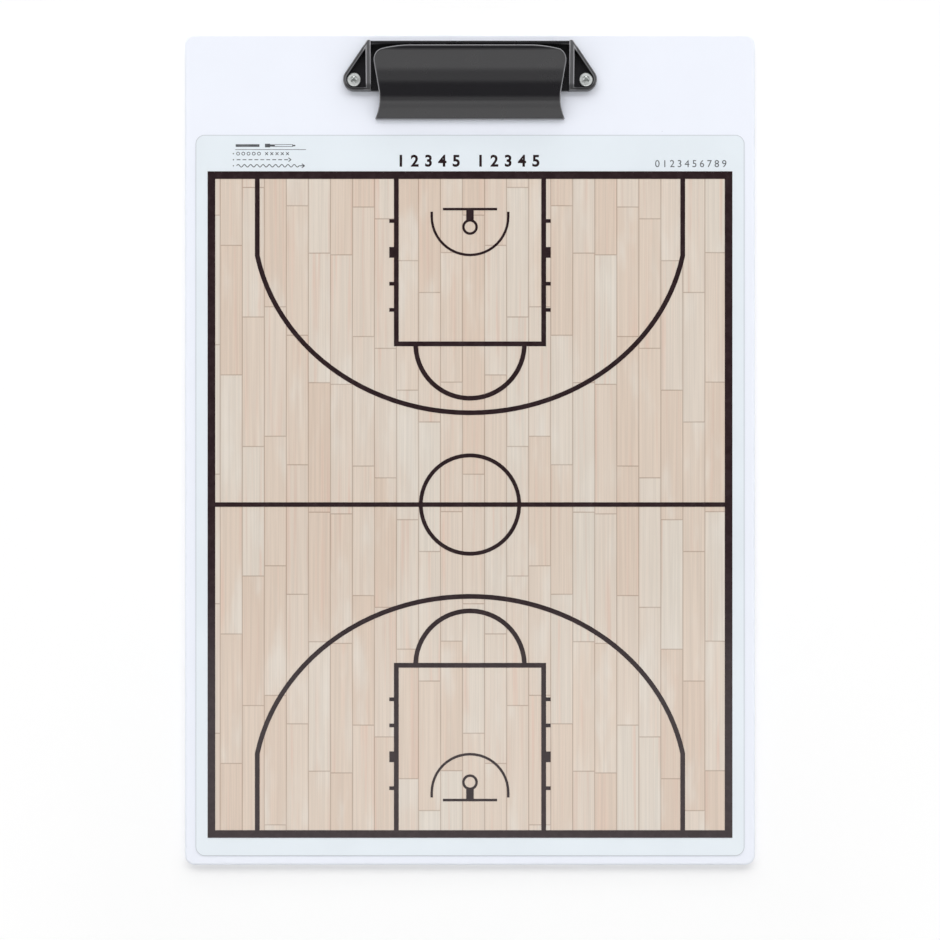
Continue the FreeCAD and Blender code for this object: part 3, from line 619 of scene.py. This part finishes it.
def print_digits(name, words, place, height, spread, weight, material):
    """Digits as thin solids: outlines are filled and thickened, then scaled and moved on to the sheet."""
    curve = bpy.data.curves.new(name, "FONT")
    curve.body = words
    curve.align_x = "CENTER"
    curve.space_character = spread
    curve.offset = weight
    curve.extrude = digit_half_thick
    curve.resolution_u = digit_curve_steps
    source = bpy.data.objects.new(name, curve)
    mesh = bpy.data.meshes.new_from_object(source)
    bpy.data.objects.remove(source)
    bpy.data.curves.remove(curve)
    fill_digits(mesh)
    points = np.empty(len(mesh.vertices) * 3)
    mesh.vertices.foreach_get("co", points)
    points = points.reshape(-1, 3)
    low = points.min(0)
    high = points.max(0)
    size = height / (high[1] - low[1])
    points[:, :2] = place + (points[:, :2] - (low[:2] + high[:2]) / 2) * size
    points[:, 2] = np.where(points[:, 2] > 0, mark_top, mark_base)
    mesh.vertices.foreach_set("co", points.ravel())
    mesh.update()
    piece = add_piece(name, mesh, material)
    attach(piece, "board")


grey_print = ink_material("grey_print", ink_grey, ink_grey_worn)
play_signs = make_piece("play_signs", play_key(), grey_print)
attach(play_signs, "board")
print_digits("player_numbers", "12345 12345", place=(-0.0002, 0.1215), height=0.0051, spread=1.74,
             weight=0.03, material=line_print)
print_digits("small_numbers", "0123456789", place=(0.0929, 0.1203), height=0.003, spread=1.46,
             weight=0.0, material=grey_print)


# Clip base: a black moulding with a floor, a back wall, two pin posts, two cheeks and two screw ears.
# It has a fine satin grain, and a paler grey is painted on the rounded rims of its cheeks and ears as a
# painted highlight.
clip_black = (0.0075, 0.007, 0.009, 1.0)
clip_dust = (0.22, 0.22, 0.23, 1.0)
# Painted highlight: a paler grey painted along the clip's rounded rims and the lever's outline.
rim_highlight_grey = (0.4, 0.4, 0.42, 1.0)
clip_skin_depth = 0.000005
cheek_inside = 0.0415
cheek_slack = 0.0001
cheek_outside = 0.0437
ear_rim = 0.0003
ear_fade_run = 0.001
ear_fade = (cheek_outside + ear_rim, cheek_outside + ear_rim + ear_fade_run)
front_edge = 0.1526
front_fade_run = 0.0014
front_fade = (front_edge, front_edge + front_fade_run)
# How much of the painted highlight the tops, the ears' rims and the front rims keep.
top_highlight_share = 0.2
ear_highlight_share = 0.36
front_highlight_share = 0.3
rim_levels = (0.02, 0.12)
top_levels = (0.93, 0.97)
floor_levels = (0.98, 0.995)


def clip_material(name, rim):
    """Black moulded plastic, with a painted highlight in a paler grey where the mask that rim gives is one.
    """
    def highlighted(tree, colour):
        """The plastic's colour, mixed with the painted highlight's paler grey by the mask."""
        return mix_colour(tree, rim(tree), colour, rim_highlight_grey)

    return moulded_plastic(name, clip_skin_depth, {
        "Color": clip_black, "Speck Color": clip_dust, "Speck Share": 0.05, "Tone Change": 0.15,
        "Roughness": 0.28, "Roughness Change": 0.05, "Grain Scale": 2600.0,
    }, highlighted)


def base_rim_highlight(tree):
    """Where the painted highlight lies: one on the cheeks' rounded rims, less on the ears' and the front
    rims, and little on the tops.

    A rim is where the surface turns from upright to the sloping top, and that is less level than the floor.
    """
    coordinates = add_node(tree, "ShaderNodeTexCoord").outputs
    level = add_node(tree, "ShaderNodeSeparateXYZ", {0: coordinates["Normal"]}).outputs["Z"]
    axes = add_node(tree, "ShaderNodeSeparateXYZ", {0: coordinates["Object"]}).outputs
    across = maths(tree, "ABSOLUTE", axes["X"])
    shares = (
        remap(tree, level, rim_levels, none_to_full),
        remap(tree, level, top_levels, (1.0, top_highlight_share)),
        remap(tree, level, floor_levels, full_to_none),
        remap(tree, across, ear_fade, (1.0, ear_highlight_share)),
        maths(tree, "GREATER_THAN", across, cheek_inside - cheek_slack),
        remap(tree, axes["Y"], front_fade, (front_highlight_share, 1.0)),
    )
    rim = shares[0]
    for share in shares[1:]:
        rim = maths(tree, "MULTIPLY", rim, share)
    return rim


dress("clip_base", clip_material("clip_base_plastic", base_rim_highlight))


# Pivot pin: a drawn steel pin, pressed into the base's two posts, that the lever turns on.
# Fine lines run round it from its drawing, under a thin film of oil.
pin_grey = (0.42, 0.42, 0.43, 1.0)
pin_lines = (9000.0, 300.0, 300.0)
pin_rough = 0.28
metal_line_shades = (0.8, 1.0)
metal_line_depth = 0.000002
metal_patch_scale = 500.0
metal_patch_span = (0.5, 0.8)
metal_patch_shades = (0.0, -0.15)
metal_dull_span = (0.3, 0.8)
metal_dull_change = (-0.06, 0.14)


def drawn_metal_group():
    """Bare metal: lines along a chosen way, and small dull patches."""
    group, given, result = make_group(
        "drawn_metal",
        {"Color": "Color", "Line Scale": "Vector", "Roughness": "Float"},
        {"Color": "Color", "Roughness": "Float", "Height": "Float"},
    )
    lines = noise(group, object_place(group, given["Line Scale"]), 1.0, detail=3.0, rough=0.6)
    patches = noise(group, object_place(group), metal_patch_scale, detail=3.0, rough=0.6)
    line_shade = remap(group, lines, noise_span, metal_line_shades)
    shade = maths(group, "ADD", line_shade, remap(group, patches, metal_patch_span, metal_patch_shades))
    colour = scaled(group, given["Color"], shade)
    dulled = remap(group, patches, metal_dull_span, metal_dull_change)
    rough = maths(group, "ADD", given["Roughness"], dulled)
    for socket, value in (("Color", colour), ("Roughness", rough), ("Height", lines)):
        group.links.new(value, result[socket])
    return group


drawn_metal = drawn_metal_group()


def metal(name, colour, line_scale, roughness):
    """A metal finish with its own colour and direction of lines."""
    material, tree, shader = new_material(name, metallic=1.0)
    face = use_group(tree, drawn_metal, {"Color": colour, "Line Scale": line_scale, "Roughness": roughness})
    tree.links.new(face["Color"], shader.inputs["Base Color"])
    tree.links.new(face["Roughness"], shader.inputs["Roughness"])
    add_bump(tree, shader, face["Height"], metal_line_depth)
    return material


dress("pivot_pin", metal("pin_steel", pin_grey, pin_lines, pin_rough))


# Springs: two torsion springs of bright wire, coiled round the pin inside the clip.
# One leg of each lies on the base's floor and the other pushes the tab up.
wire_bright = (0.52, 0.52, 0.54, 1.0)
wire_lines = (700.0, 5000.0, 5000.0)
wire_rough = 0.24
pivot = np.array(frame["joints"][0]["pos_m"])
wire_radius = 0.00045
wire_points = 12
tip_radii = np.array((0.0, 0.55, 0.9, 1.0)) * wire_radius
tip_steps = np.array((0.0, 0.03, 0.12, 0.25))[:, None] * wire_radius
coil_radius = 0.0023
coil_pitch = 0.0014
coil_turns = 6
coil_points = 220
coil_inner_end = 0.0226
leg_length = 0.0076
leg_steps = 8
floor_leg_fall = 0.00037
tab_leg_rise = 0.000344
tab_rise = 0.006
tab_rise_run = 0.01465
floor_leg = -math.asin(floor_leg_fall / leg_length)
tab_leg = math.atan(tab_rise / tab_rise_run) + math.asin(tab_leg_rise / leg_length)
coil_first = floor_leg - math.pi / 2
coil_last = tab_leg + math.pi / 2 - coil_turns * 2 * math.pi
coil_climb = coil_pitch / (2 * math.pi)


def held_on(rows, count):
    """Rows of an array with its first and last row repeated before and after it."""
    return np.pad(rows, ((count, count), (0, 0)), "edge")


def spring_wire():
    """A round wire carried along a leg, a helix about the pin and the other leg.

    On the helix the place is the radius times the angle's cosine and sine, and the way along the pin is the
    angle times the pitch over a full turn. Each leg leaves the helix along its own direction there. At each
    end the wire's radius falls to nothing in a few short steps.
    """
    angle = np.linspace(coil_first, coil_last, coil_points)
    zero = np.zeros_like(angle)
    outward = np.stack([zero, np.cos(angle), np.sin(angle)], -1)
    coil = outward * coil_radius
    coil[:, 0] = coil_inner_end + (angle - coil_last) * coil_climb
    way = np.stack([zero - coil_climb, coil_radius * np.sin(angle), -coil_radius * np.cos(angle)], -1)
    way /= np.linalg.norm(way, axis=1, keepdims=True)
    leg = np.linspace(0, leg_length, leg_steps + 1)[1:, None]
    path = np.concatenate([coil[0] - way[0] * leg[::-1], coil, coil[-1] + way[-1] * leg])
    path = np.concatenate([path[0] + way[0] * tip_steps, path[1:-1], path[-1] - way[-1] * tip_steps[::-1]])
    radius = np.pad(tip_radii, (0, len(path) - len(tip_radii)), "edge")
    radius = np.minimum(radius, radius[::-1])
    ends = leg_steps + len(tip_radii) - 1
    way = held_on(way, ends)
    outward = held_on(outward, ends)
    side = np.cross(way, outward)
    turn = np.linspace(0, 2 * np.pi, wire_points, endpoint=False)[None, :, None]
    ring = np.cos(turn) * outward[:, None] + np.sin(turn) * side[:, None]
    return pivot + path[:, None] + ring * radius[:, None, None]


spring_steel = metal("spring_steel", wire_bright, wire_lines, wire_rough)
for word, hand in (("left", -1.0), ("right", 1.0)):
    wire = spring_wire() * (hand, 1.0, 1.0)
    spring = make_piece("spring_wire_" + word, [wire], spring_steel)
    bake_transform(spring)
    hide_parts("spring_" + word)


# Lever: a black plate bent into a jaw, a saddle and a thumb tab, that turns on the pin with four lugs.
# It is moulded in the base's plastic, with a full round along the tab's end and soft edges all round.
lip_run = 0.0199
crease_run = 0.0118
saddle_run = 0.0052
tab_run = 0.00945
tab_flat_run = 0.0017
# A bend is a place along the lever from the pin, a height above it, and half the length of its blend.
face_bends = (
    (-lip_run, -0.0031, 0.0),
    (-0.0131, 0.0028, 0.0029),
    (-saddle_run, 0.0031, 0.0018),
    (-0.0004, 0.00466, 0.0014),
    (tab_run - tab_flat_run, 0.00874, 0.0004),
    (tab_run, 0.00874, 0.0),
)
back_bends = (
    (-lip_run, -0.0049, 0.0),
    (-crease_run, 0.001, 0.0007),
    (-saddle_run, 0.0013, 0.0007),
    (tab_run, 0.0073, 0.0),
)
waist_half = 0.0379
flare_run = 0.0124
flare_round = 0.01292
waist_run = 0.0098
waist_blend = 0.00105
shoulder_rise = 0.0028
shoulder_run = 0.01655
shoulder_slope = shoulder_rise / shoulder_run
tab_flat_half = 0.0245
shoulder_round = 0.04995
tab_corner_round = 0.004
lip_corner_round = 0.0008
side_round = 0.0006
tab_round = 0.0007
tab_round_start = 0.0045
tab_round_fade = 0.0035
lip_round = 0.0009
lip_round_start = 0.0172
lip_round_fade = 0.002
lip_round_stretch = 0.65
under_round = 0.0003
edge_insets = np.array((0.0, 0.000015, 0.00006, 0.00013, 0.00023, 0.00036, 0.00052, 0.00072, 0.00095,
                        0.0012, 0.0015, 0.0019, 0.0024))
inner_rings = 46
line_points = 50
fan_points = 98
widest_reach = 0.03
halvings = 40
lug_radius = 0.0023
lug_thick = 0.0024
lug_bore = 0.0013
lug_sink = 0.0008
lug_insides = (0.0323, 0.0161)
lug_arc_points = 25
lug_side_points = 8
lever_highlight_width = 0.0005


def soft_ramp(distance, blend):
    """Zero before a bend and the distance after it, joined by a parabola of a half width."""
    near = np.clip(distance, -blend, blend)
    return (near + blend) ** 2 / (4 * blend) + np.maximum(distance - blend, 0)


def bent_line(y, bends):
    """A height along the lever: straight runs from bend to bend, each bend softened by a parabola."""
    places, heights, blends = np.array(bends).T
    slopes = np.diff(heights) / np.diff(places)
    height = heights[0] + slopes[0] * (y - places[0])
    for place, blend, change in zip(places[1:-1], blends[1:-1], np.diff(slopes)):
        height = height + change * soft_ramp(y - place, blend)
    return height


def rounded_min(a, b, radius):
    """The distance inside two edges that meet in a round corner."""
    corner = radius - np.hypot(np.maximum(radius - a, 0), np.maximum(radius - b, 0))
    return np.where((a < radius) & (b < radius), corner, np.minimum(a, b))


def lever_inset(x, y):
    """How far a place lies inside the outline: waisted sides, an arched tab end and a straight lip."""
    x = np.abs(x)
    flare = flare_round - np.sqrt(flare_round**2 - np.clip(-flare_run - y, 0, lip_run - flare_run) ** 2)
    side = waist_half + flare + shoulder_slope * soft_ramp(y + waist_run, waist_blend) - x
    arch = shoulder_round - np.hypot(x - tab_flat_half, y - tab_run + shoulder_round)
    end = np.where(x < tab_flat_half, tab_run - y, arch)
    return rounded_min(rounded_min(side, end, tab_corner_round), y + lip_run, lip_corner_round)


def quarter_round(inset, radius):
    """How far a rounded edge falls at an inset: the radius less the height of its quarter circle."""
    return radius - np.sqrt(radius**2 - np.clip(radius - inset, 0, radius) ** 2)


def lever_plate():
    """The bent plate as rings from a line inside it to its outline, below and then above.

    Each ray leaves the line straight, or in a fan at its two ends, and its reach is found by halving
    until the inset is zero. The heights follow the bends, less a quarter round near the edge, which is
    drawn out to an ellipse along the lip.
    """
    middle = (tab_run - lip_run) / 2
    straight = np.linspace(tab_flat_half, -tab_flat_half, line_points)
    up = np.full(line_points, np.pi / 2)
    corner = np.full(fan_points, tab_flat_half)
    fan = np.linspace(0, np.pi, fan_points + 2)[1:-1]
    start_x = np.concatenate([straight, -corner, -straight, corner])
    angle = np.concatenate([up, np.pi / 2 + fan, -up, fan - np.pi / 2])
    way_x = np.cos(angle)
    way_y = np.sin(angle)
    low = np.zeros_like(angle)
    high = np.full_like(angle, widest_reach)
    for _ in range(halvings):
        reach = (low + high) / 2
        inside = lever_inset(start_x + way_x * reach, middle + way_y * reach) > 0
        low = np.where(inside, reach, low)
        high = np.where(inside, high, reach)
    inwards = np.linspace(1, 0, inner_rings)[1:, None]
    reaches = np.concatenate([low - edge_insets[:, None], (low - edge_insets[-1]) * inwards])
    x = start_x + way_x * reaches
    y = middle + way_y * reaches
    inset = np.clip(lever_inset(x, y), 0, None)
    to_tab = np.clip((y - tab_round_start) / tab_round_fade, 0, 1)
    to_lip = np.clip((-y - lip_round_start) / lip_round_fade, 0, 1)
    edge = side_round + (tab_round - side_round) * to_tab + (lip_round - side_round) * to_lip
    face = bent_line(y, face_bends)
    back = bent_line(y, back_bends)
    upper = np.stack([x, y, face - quarter_round(inset, edge) * (1 + lip_round_stretch * to_lip)], -1)
    lower = np.stack([x, y, back + quarter_round(inset, under_round)], -1)
    return pivot + np.concatenate([lower[::-1], upper])


def lever_lug(inside):
    """A lug: half a disc about the pin, with straight sides up into the plate, and bored through."""
    half_turn = np.linspace(np.pi, 2 * np.pi, lug_arc_points)
    rise = np.linspace(0, 1, lug_side_points)[1:, None]
    tops = bent_line(np.array((lug_radius, -lug_radius)), back_bends) + lug_sink
    right = (lug_radius, tops[0])
    left = (-lug_radius, tops[1])
    outline = np.concatenate([
        np.stack([np.cos(half_turn), np.sin(half_turn)], -1) * lug_radius,
        (lug_radius, 0) + rise * (0, right[1]),
        right + rise * (left[0] - right[0], left[1] - right[1]),
        left + rise[:-1] * (0, -left[1]),
    ])
    bore = outline / np.linalg.norm(outline, axis=1, keepdims=True) * lug_bore

    def ring(loop_points, x):
        """A loop of points across the pin, at a place along it."""
        return np.concatenate([np.full((len(loop_points), 1), x), loop_points], -1)

    far = inside + np.sign(inside) * lug_thick
    return pivot + np.stack([
        ring(outline, inside), ring(outline, far), ring(bore, far), ring(bore, inside), ring(outline, inside),
    ])


def lever_rim_highlight(tree):
    """The painted highlight's mask, which the piece's own attribute gives along its outline."""
    return add_node(tree, "ShaderNodeAttribute", attribute_name="rim").outputs["Fac"]


def mark_lever_rim_highlight(mesh):
    """Sets the painted highlight's attribute to one at the outline and zero a highlight's width inside it."""
    places = np.empty(len(mesh.vertices) * 3)
    mesh.vertices.foreach_get("co", places)
    x, y, _ = places.reshape(-1, 3).T - pivot[:, None]
    share = np.clip(1 - lever_inset(x, y) / lever_highlight_width, 0, 1)
    mesh.attributes.new("rim", "FLOAT", "POINT").data.foreach_set("value", share)


lever_grids = [lever_plate()] + [lever_lug(inside * hand) for inside in lug_insides for hand in (-1, 1)]
# The lever's outline gets a painted highlight: a paler grey along its rounded edges.
lever_plastic = clip_material("clip_lever_plastic", lever_rim_highlight)
lever = make_piece("lever_moulding", lever_grids, lever_plastic)
mark_lever_rim_highlight(lever.data)
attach(lever, "lever")
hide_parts("clip_lever")


# Screws: pan heads with a cross recess, plated with bright zinc, that go into the nuts behind.
# Each is made from wire: its head is pressed to a sloping crown, with a recess whose walls slope too.
zinc_pale = (0.58, 0.60, 0.59, 1.0)
zinc_lines = (900.0, 900.0, 3000.0)
zinc_rough = 0.3
head_radius = 0.0029
head_height = 0.0021
head_drop = 0.0005
crown_radius = 0.0013
crown_power = 1.15
head_round = 0.0003
recess_radius = 0.00145
recess_depth = 0.0008
wing_half = 0.00026
wing_wall = 0.00014
wing_depth = 0.0012
fine_radius = 0.0017
fine_rings = 44
rim_rings = 26
turned_points = 96
shank_radius = 0.001475
shank_length = 0.005
shank_chamfer = 0.0003


def screw_seat(node_name):
    """The middle of the seat under a screw's head: its box's middle, a head's height below its top."""
    low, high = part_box(node_name)
    middle = (low + high) / 2
    return np.array((middle.x, middle.y, high.z - head_height))


def pan_screw(place):
    """A turned screw: a sloping crown with a round rim, a cone sunk in it, and a cross cut in the cone.

    The cross is as deep as its two slots allow: its depth falls off with the distance from the nearer
    slot's middle, and towards the cone's rim.
    """
    angle = np.linspace(0, 2 * np.pi, turned_points, endpoint=False)[None, :]
    outer = np.linspace(fine_radius, head_radius, rim_rings)[1:]
    radius = np.concatenate([np.linspace(0, fine_radius, fine_rings), outer])[:, None]
    x = radius * np.cos(angle)
    y = radius * np.sin(angle)
    from_slot = np.minimum(np.abs(x + y), np.abs(x - y)) / math.sqrt(2)
    cone = recess_depth * np.clip(1 - radius / recess_radius, 0, 1)
    slot = np.clip((wing_half + wing_wall - from_slot) / wing_wall, 0, 1)
    wing = wing_depth * np.minimum(slot, np.clip((recess_radius - radius) / wing_wall, 0, 1))
    outwards = np.clip((radius - crown_radius) / (head_radius - crown_radius), 0, 1)
    crown = head_height - head_drop * outwards**crown_power
    z = crown - quarter_round(head_radius - radius, head_round) - cone - wing
    head = np.stack([x, y, z], -1)
    turned = np.array([
        (head_radius, 0.0), (shank_radius, 0.0), (shank_radius, shank_chamfer - shank_length),
        (shank_radius - shank_chamfer, -shank_length), (0.0, -shank_length),
    ])
    shank_z = np.repeat(turned[:, 1:], turned_points, 1)
    shank = np.stack([turned[:, :1] * np.cos(angle), turned[:, :1] * np.sin(angle), shank_z], -1)
    return place + np.concatenate([head, shank])


screw_zinc = metal("screw_zinc", zinc_pale, zinc_lines, zinc_rough)
for word in ("left", "right"):
    seat = screw_seat("clip_screw_" + word)
    screw = make_piece("pan_screw_" + word, [pan_screw(seat)], screw_zinc)
    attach(screw, "board")
    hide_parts("clip_screw_" + word)


# Barrel nuts: flanged sleeves pushed in from the back of the board, with a slot for a driver.
# They have the same bright zinc as the screws.
for nut in ("barrel_nut_left", "barrel_nut_right"):
    dress(nut, screw_zinc)


# Stage: a pale floor under the board, soft light from the clip's side, and the camera straight above.
# Sheets of light that only reflections see stand over and before the board, behind it and at both sides,
# and give the black clip its greys.
floor_white = (0.95, 0.95, 0.95, 1.0)
floor_half = 3.0
floor_drop = 0.0002
floor_lift = 0.06
shadow_reach = 0.012
fade_reach = 0.09
card_white = (1.0, 1.0, 1.0, 1.0)
card_half = 1.6
card_low = 0.05
front_card_light = 2.5
front_card_height = 1.2
front_card_top = 1.4
front_card_foot = -3.0
# A step of the front card is a place along the board and the light there.
front_card_steps = ((1.4, 1.2), (0.75, 1.2), (0.6, 0.06), (-0.13, 0.08), (-0.2, 1.16), (-0.385, 1.16),
                    (-0.44, 0.45), (-0.66, 0.45), (-0.81, 2.2), (-1.05, 2.2), (-1.25, 1.6),
                    (-1.45, 1.6), (-1.9, 1.4), (-3.0, 1.2))
front_card_side_light = 1.2
front_card_side = 0.5
front_card_side_fade = 0.2
foot_card_light = 1.95
foot_card_low = 0.02
back_card_light = 1.0
back_card_place = 2.0
back_card_top = 2.8
side_card_light = 1.1
side_card_tint = (0.98, 0.98, 1.0, 1.0)
side_card_place = 1.7
side_card_top = 2.6
horizon_light = 1.0
zenith_light = 0.1
camera_height = 0.954
camera_place = -0.00863
view_width = 0.3957
sensor_width_mm = 36.0
board_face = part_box("board_panel")[1].z


def sheet_across(half, first, last):
    """The corners of a sheet that spans the stage's width, between two places given as y and z."""
    return [(-half, *first), (half, *first), (half, *last), (-half, *last)]


def make_sheet(name, corners):
    """A flat four-cornered sheet of the stage, and the empty tree of its material."""
    mesh = bpy.data.meshes.new(name)
    mesh.from_pydata(corners, [], [(0, 1, 2, 3)])
    obj = bpy.data.objects.new(name, mesh)
    bpy.context.scene.collection.objects.link(obj)
    material = bpy.data.materials.new(name)
    material.use_nodes = True
    material.node_tree.nodes.clear()
    mesh.materials.append(material)
    return obj, material.node_tree


def make_stage_floor():
    """A flat square that shows the object's shadow, and that fades to white in view a little way off."""
    _, tree = make_sheet(
        "studio_floor",
        sheet_across(floor_half, (-floor_half, -floor_drop), (floor_half, -floor_drop)),
    )
    paint = add_node(tree, "ShaderNodeBsdfDiffuse", {"Color": floor_white}).outputs[0]
    path = add_node(tree, "ShaderNodeLightPath").outputs
    seen = maths(tree, "ADD", path["Is Camera Ray"], path["Is Glossy Ray"], clamp=True)
    seen = maths(tree, "ADD", seen, path["Is Transmission Ray"], clamp=True)
    lift = maths(tree, "MULTIPLY", seen, floor_lift)
    glow = add_node(tree, "ShaderNodeEmission", {"Strength": lift}).outputs[0]
    near = add_node(tree, "ShaderNodeAddShader", {0: paint, 1: glow}).outputs[0]
    half_width, half_length, _ = cad_box[1]
    away = way_past(tree, (0.0, 0.0, 0.0), half_width + shadow_reach, half_length + shadow_reach)
    fade = maths(tree, "MULTIPLY", seen, remap(tree, away, (0.0, fade_reach), none_to_full))
    white = add_node(tree, "ShaderNodeEmission").outputs[0]
    both = add_node(tree, "ShaderNodeMixShader", {0: fade, 1: near, 2: white}).outputs[0]
    add_node(tree, "ShaderNodeOutputMaterial", {"Surface": both})


def make_card(name, corners, strength, tint=card_white):
    """A sheet of light that only reflections see: gives its tree and the socket of its colour."""
    obj, tree = make_sheet(name, corners)
    obj.visible_camera = False
    obj.visible_diffuse = False
    obj.visible_shadow = False
    glow = add_node(tree, "ShaderNodeEmission", {"Color": tint, "Strength": strength})
    add_node(tree, "ShaderNodeOutputMaterial", {"Surface": glow.outputs[0]})
    return tree, glow.inputs["Color"]


def front_light(tree):
    """Dark over the board's head, and brighter from its foot forwards and towards the card's sides."""
    axes = add_node(tree, "ShaderNodeSeparateXYZ", {0: object_place(tree)}).outputs
    share = remap(tree, axes["Y"], (front_card_top, front_card_foot), none_to_full, "LINEAR")
    reach = front_card_top - front_card_foot
    stops = [((front_card_top - y) / reach, grey(light / front_card_light)) for y, light in front_card_steps]
    side_span = (front_card_side, front_card_side + front_card_side_fade)
    side_light = (0.0, front_card_side_light / front_card_light)
    side = remap(tree, maths(tree, "ABSOLUTE", axes["X"]), side_span, side_light)
    return maths(tree, "MAXIMUM", ramp(tree, share, stops), side)


make_stage_floor()
front_foot = (front_card_foot, front_card_height)
front_top = (front_card_top, front_card_height)
front_corners = sheet_across(card_half, front_foot, front_top)
front_tree, front_colour = make_card("front_card", front_corners, front_card_light)
front_tree.links.new(front_light(front_tree), front_colour)
make_card("foot_card", sheet_across(card_half, (front_card_foot, foot_card_low), front_foot), foot_card_light)
back_low = (back_card_place, card_low)
make_card("back_card", sheet_across(card_half, back_low, (back_card_place, back_card_top)), back_card_light)
for word, x in (("left", -side_card_place), ("right", side_card_place)):
    make_card(word + "_card", [
        (x, front_card_foot, card_low), (x, back_card_place, card_low),
        (x, back_card_place, side_card_top), (x, front_card_foot, side_card_top),
    ], side_card_light, side_card_tint)

world = bpy.data.worlds.new("studio")
world.use_nodes = True
bpy.context.scene.world = world
sky = world.node_tree
background = sky.nodes["Background"].inputs
background["Color"].default_value = card_white
way_out = add_node(sky, "ShaderNodeTexCoord").outputs["Generated"]
way_up = add_node(sky, "ShaderNodeSeparateXYZ", {0: way_out}).outputs["Z"]
sky_light = remap(sky, way_up, none_to_full, (horizon_light, zenith_light), "LINEAR")
seen_sky = add_node(sky, "ShaderNodeLightPath").outputs["Is Camera Ray"]
sky.links.new(maths(sky, "MAXIMUM", sky_light, seen_sky), background["Strength"])


def add_lamp(name, place, width, height, power):
    """A rectangular soft lamp that looks at the board's middle, and that reflections don't see."""
    lamp = bpy.data.lights.new(name, "AREA")
    lamp.shape = "RECTANGLE"
    lamp.size = width
    lamp.size_y = height
    lamp.energy = power
    obj = bpy.data.objects.new(name, lamp)
    bpy.context.scene.collection.objects.link(obj)
    x, y, z = place
    obj.location = place
    obj.rotation_euler = (math.atan2(math.hypot(x, y), z), 0.0, math.atan2(-x, y) + math.pi)
    obj.visible_glossy = False


add_lamp("low_lamp", place=(0.0, 2.76, 1.17), width=5.0, height=0.9, power=16.0)
add_lamp("key_lamp", place=(0.0, 2.0, 2.3), width=5.0, height=1.4, power=56.0)
add_lamp("top_lamp", place=(0.0, -0.3, 3.4), width=3.0, height=3.0, power=34.0)

camera = bpy.data.cameras.new("camera")
camera.sensor_width = sensor_width_mm
camera.lens = sensor_width_mm * (camera_height - board_face) / view_width
camera_object = bpy.data.objects.new("camera", camera)
camera_object.location = (0.0, camera_place, camera_height)
bpy.context.scene.collection.objects.link(camera_object)
bpy.context.scene.camera = camera_object

bpy.context.scene.view_settings.view_transform = "Standard"
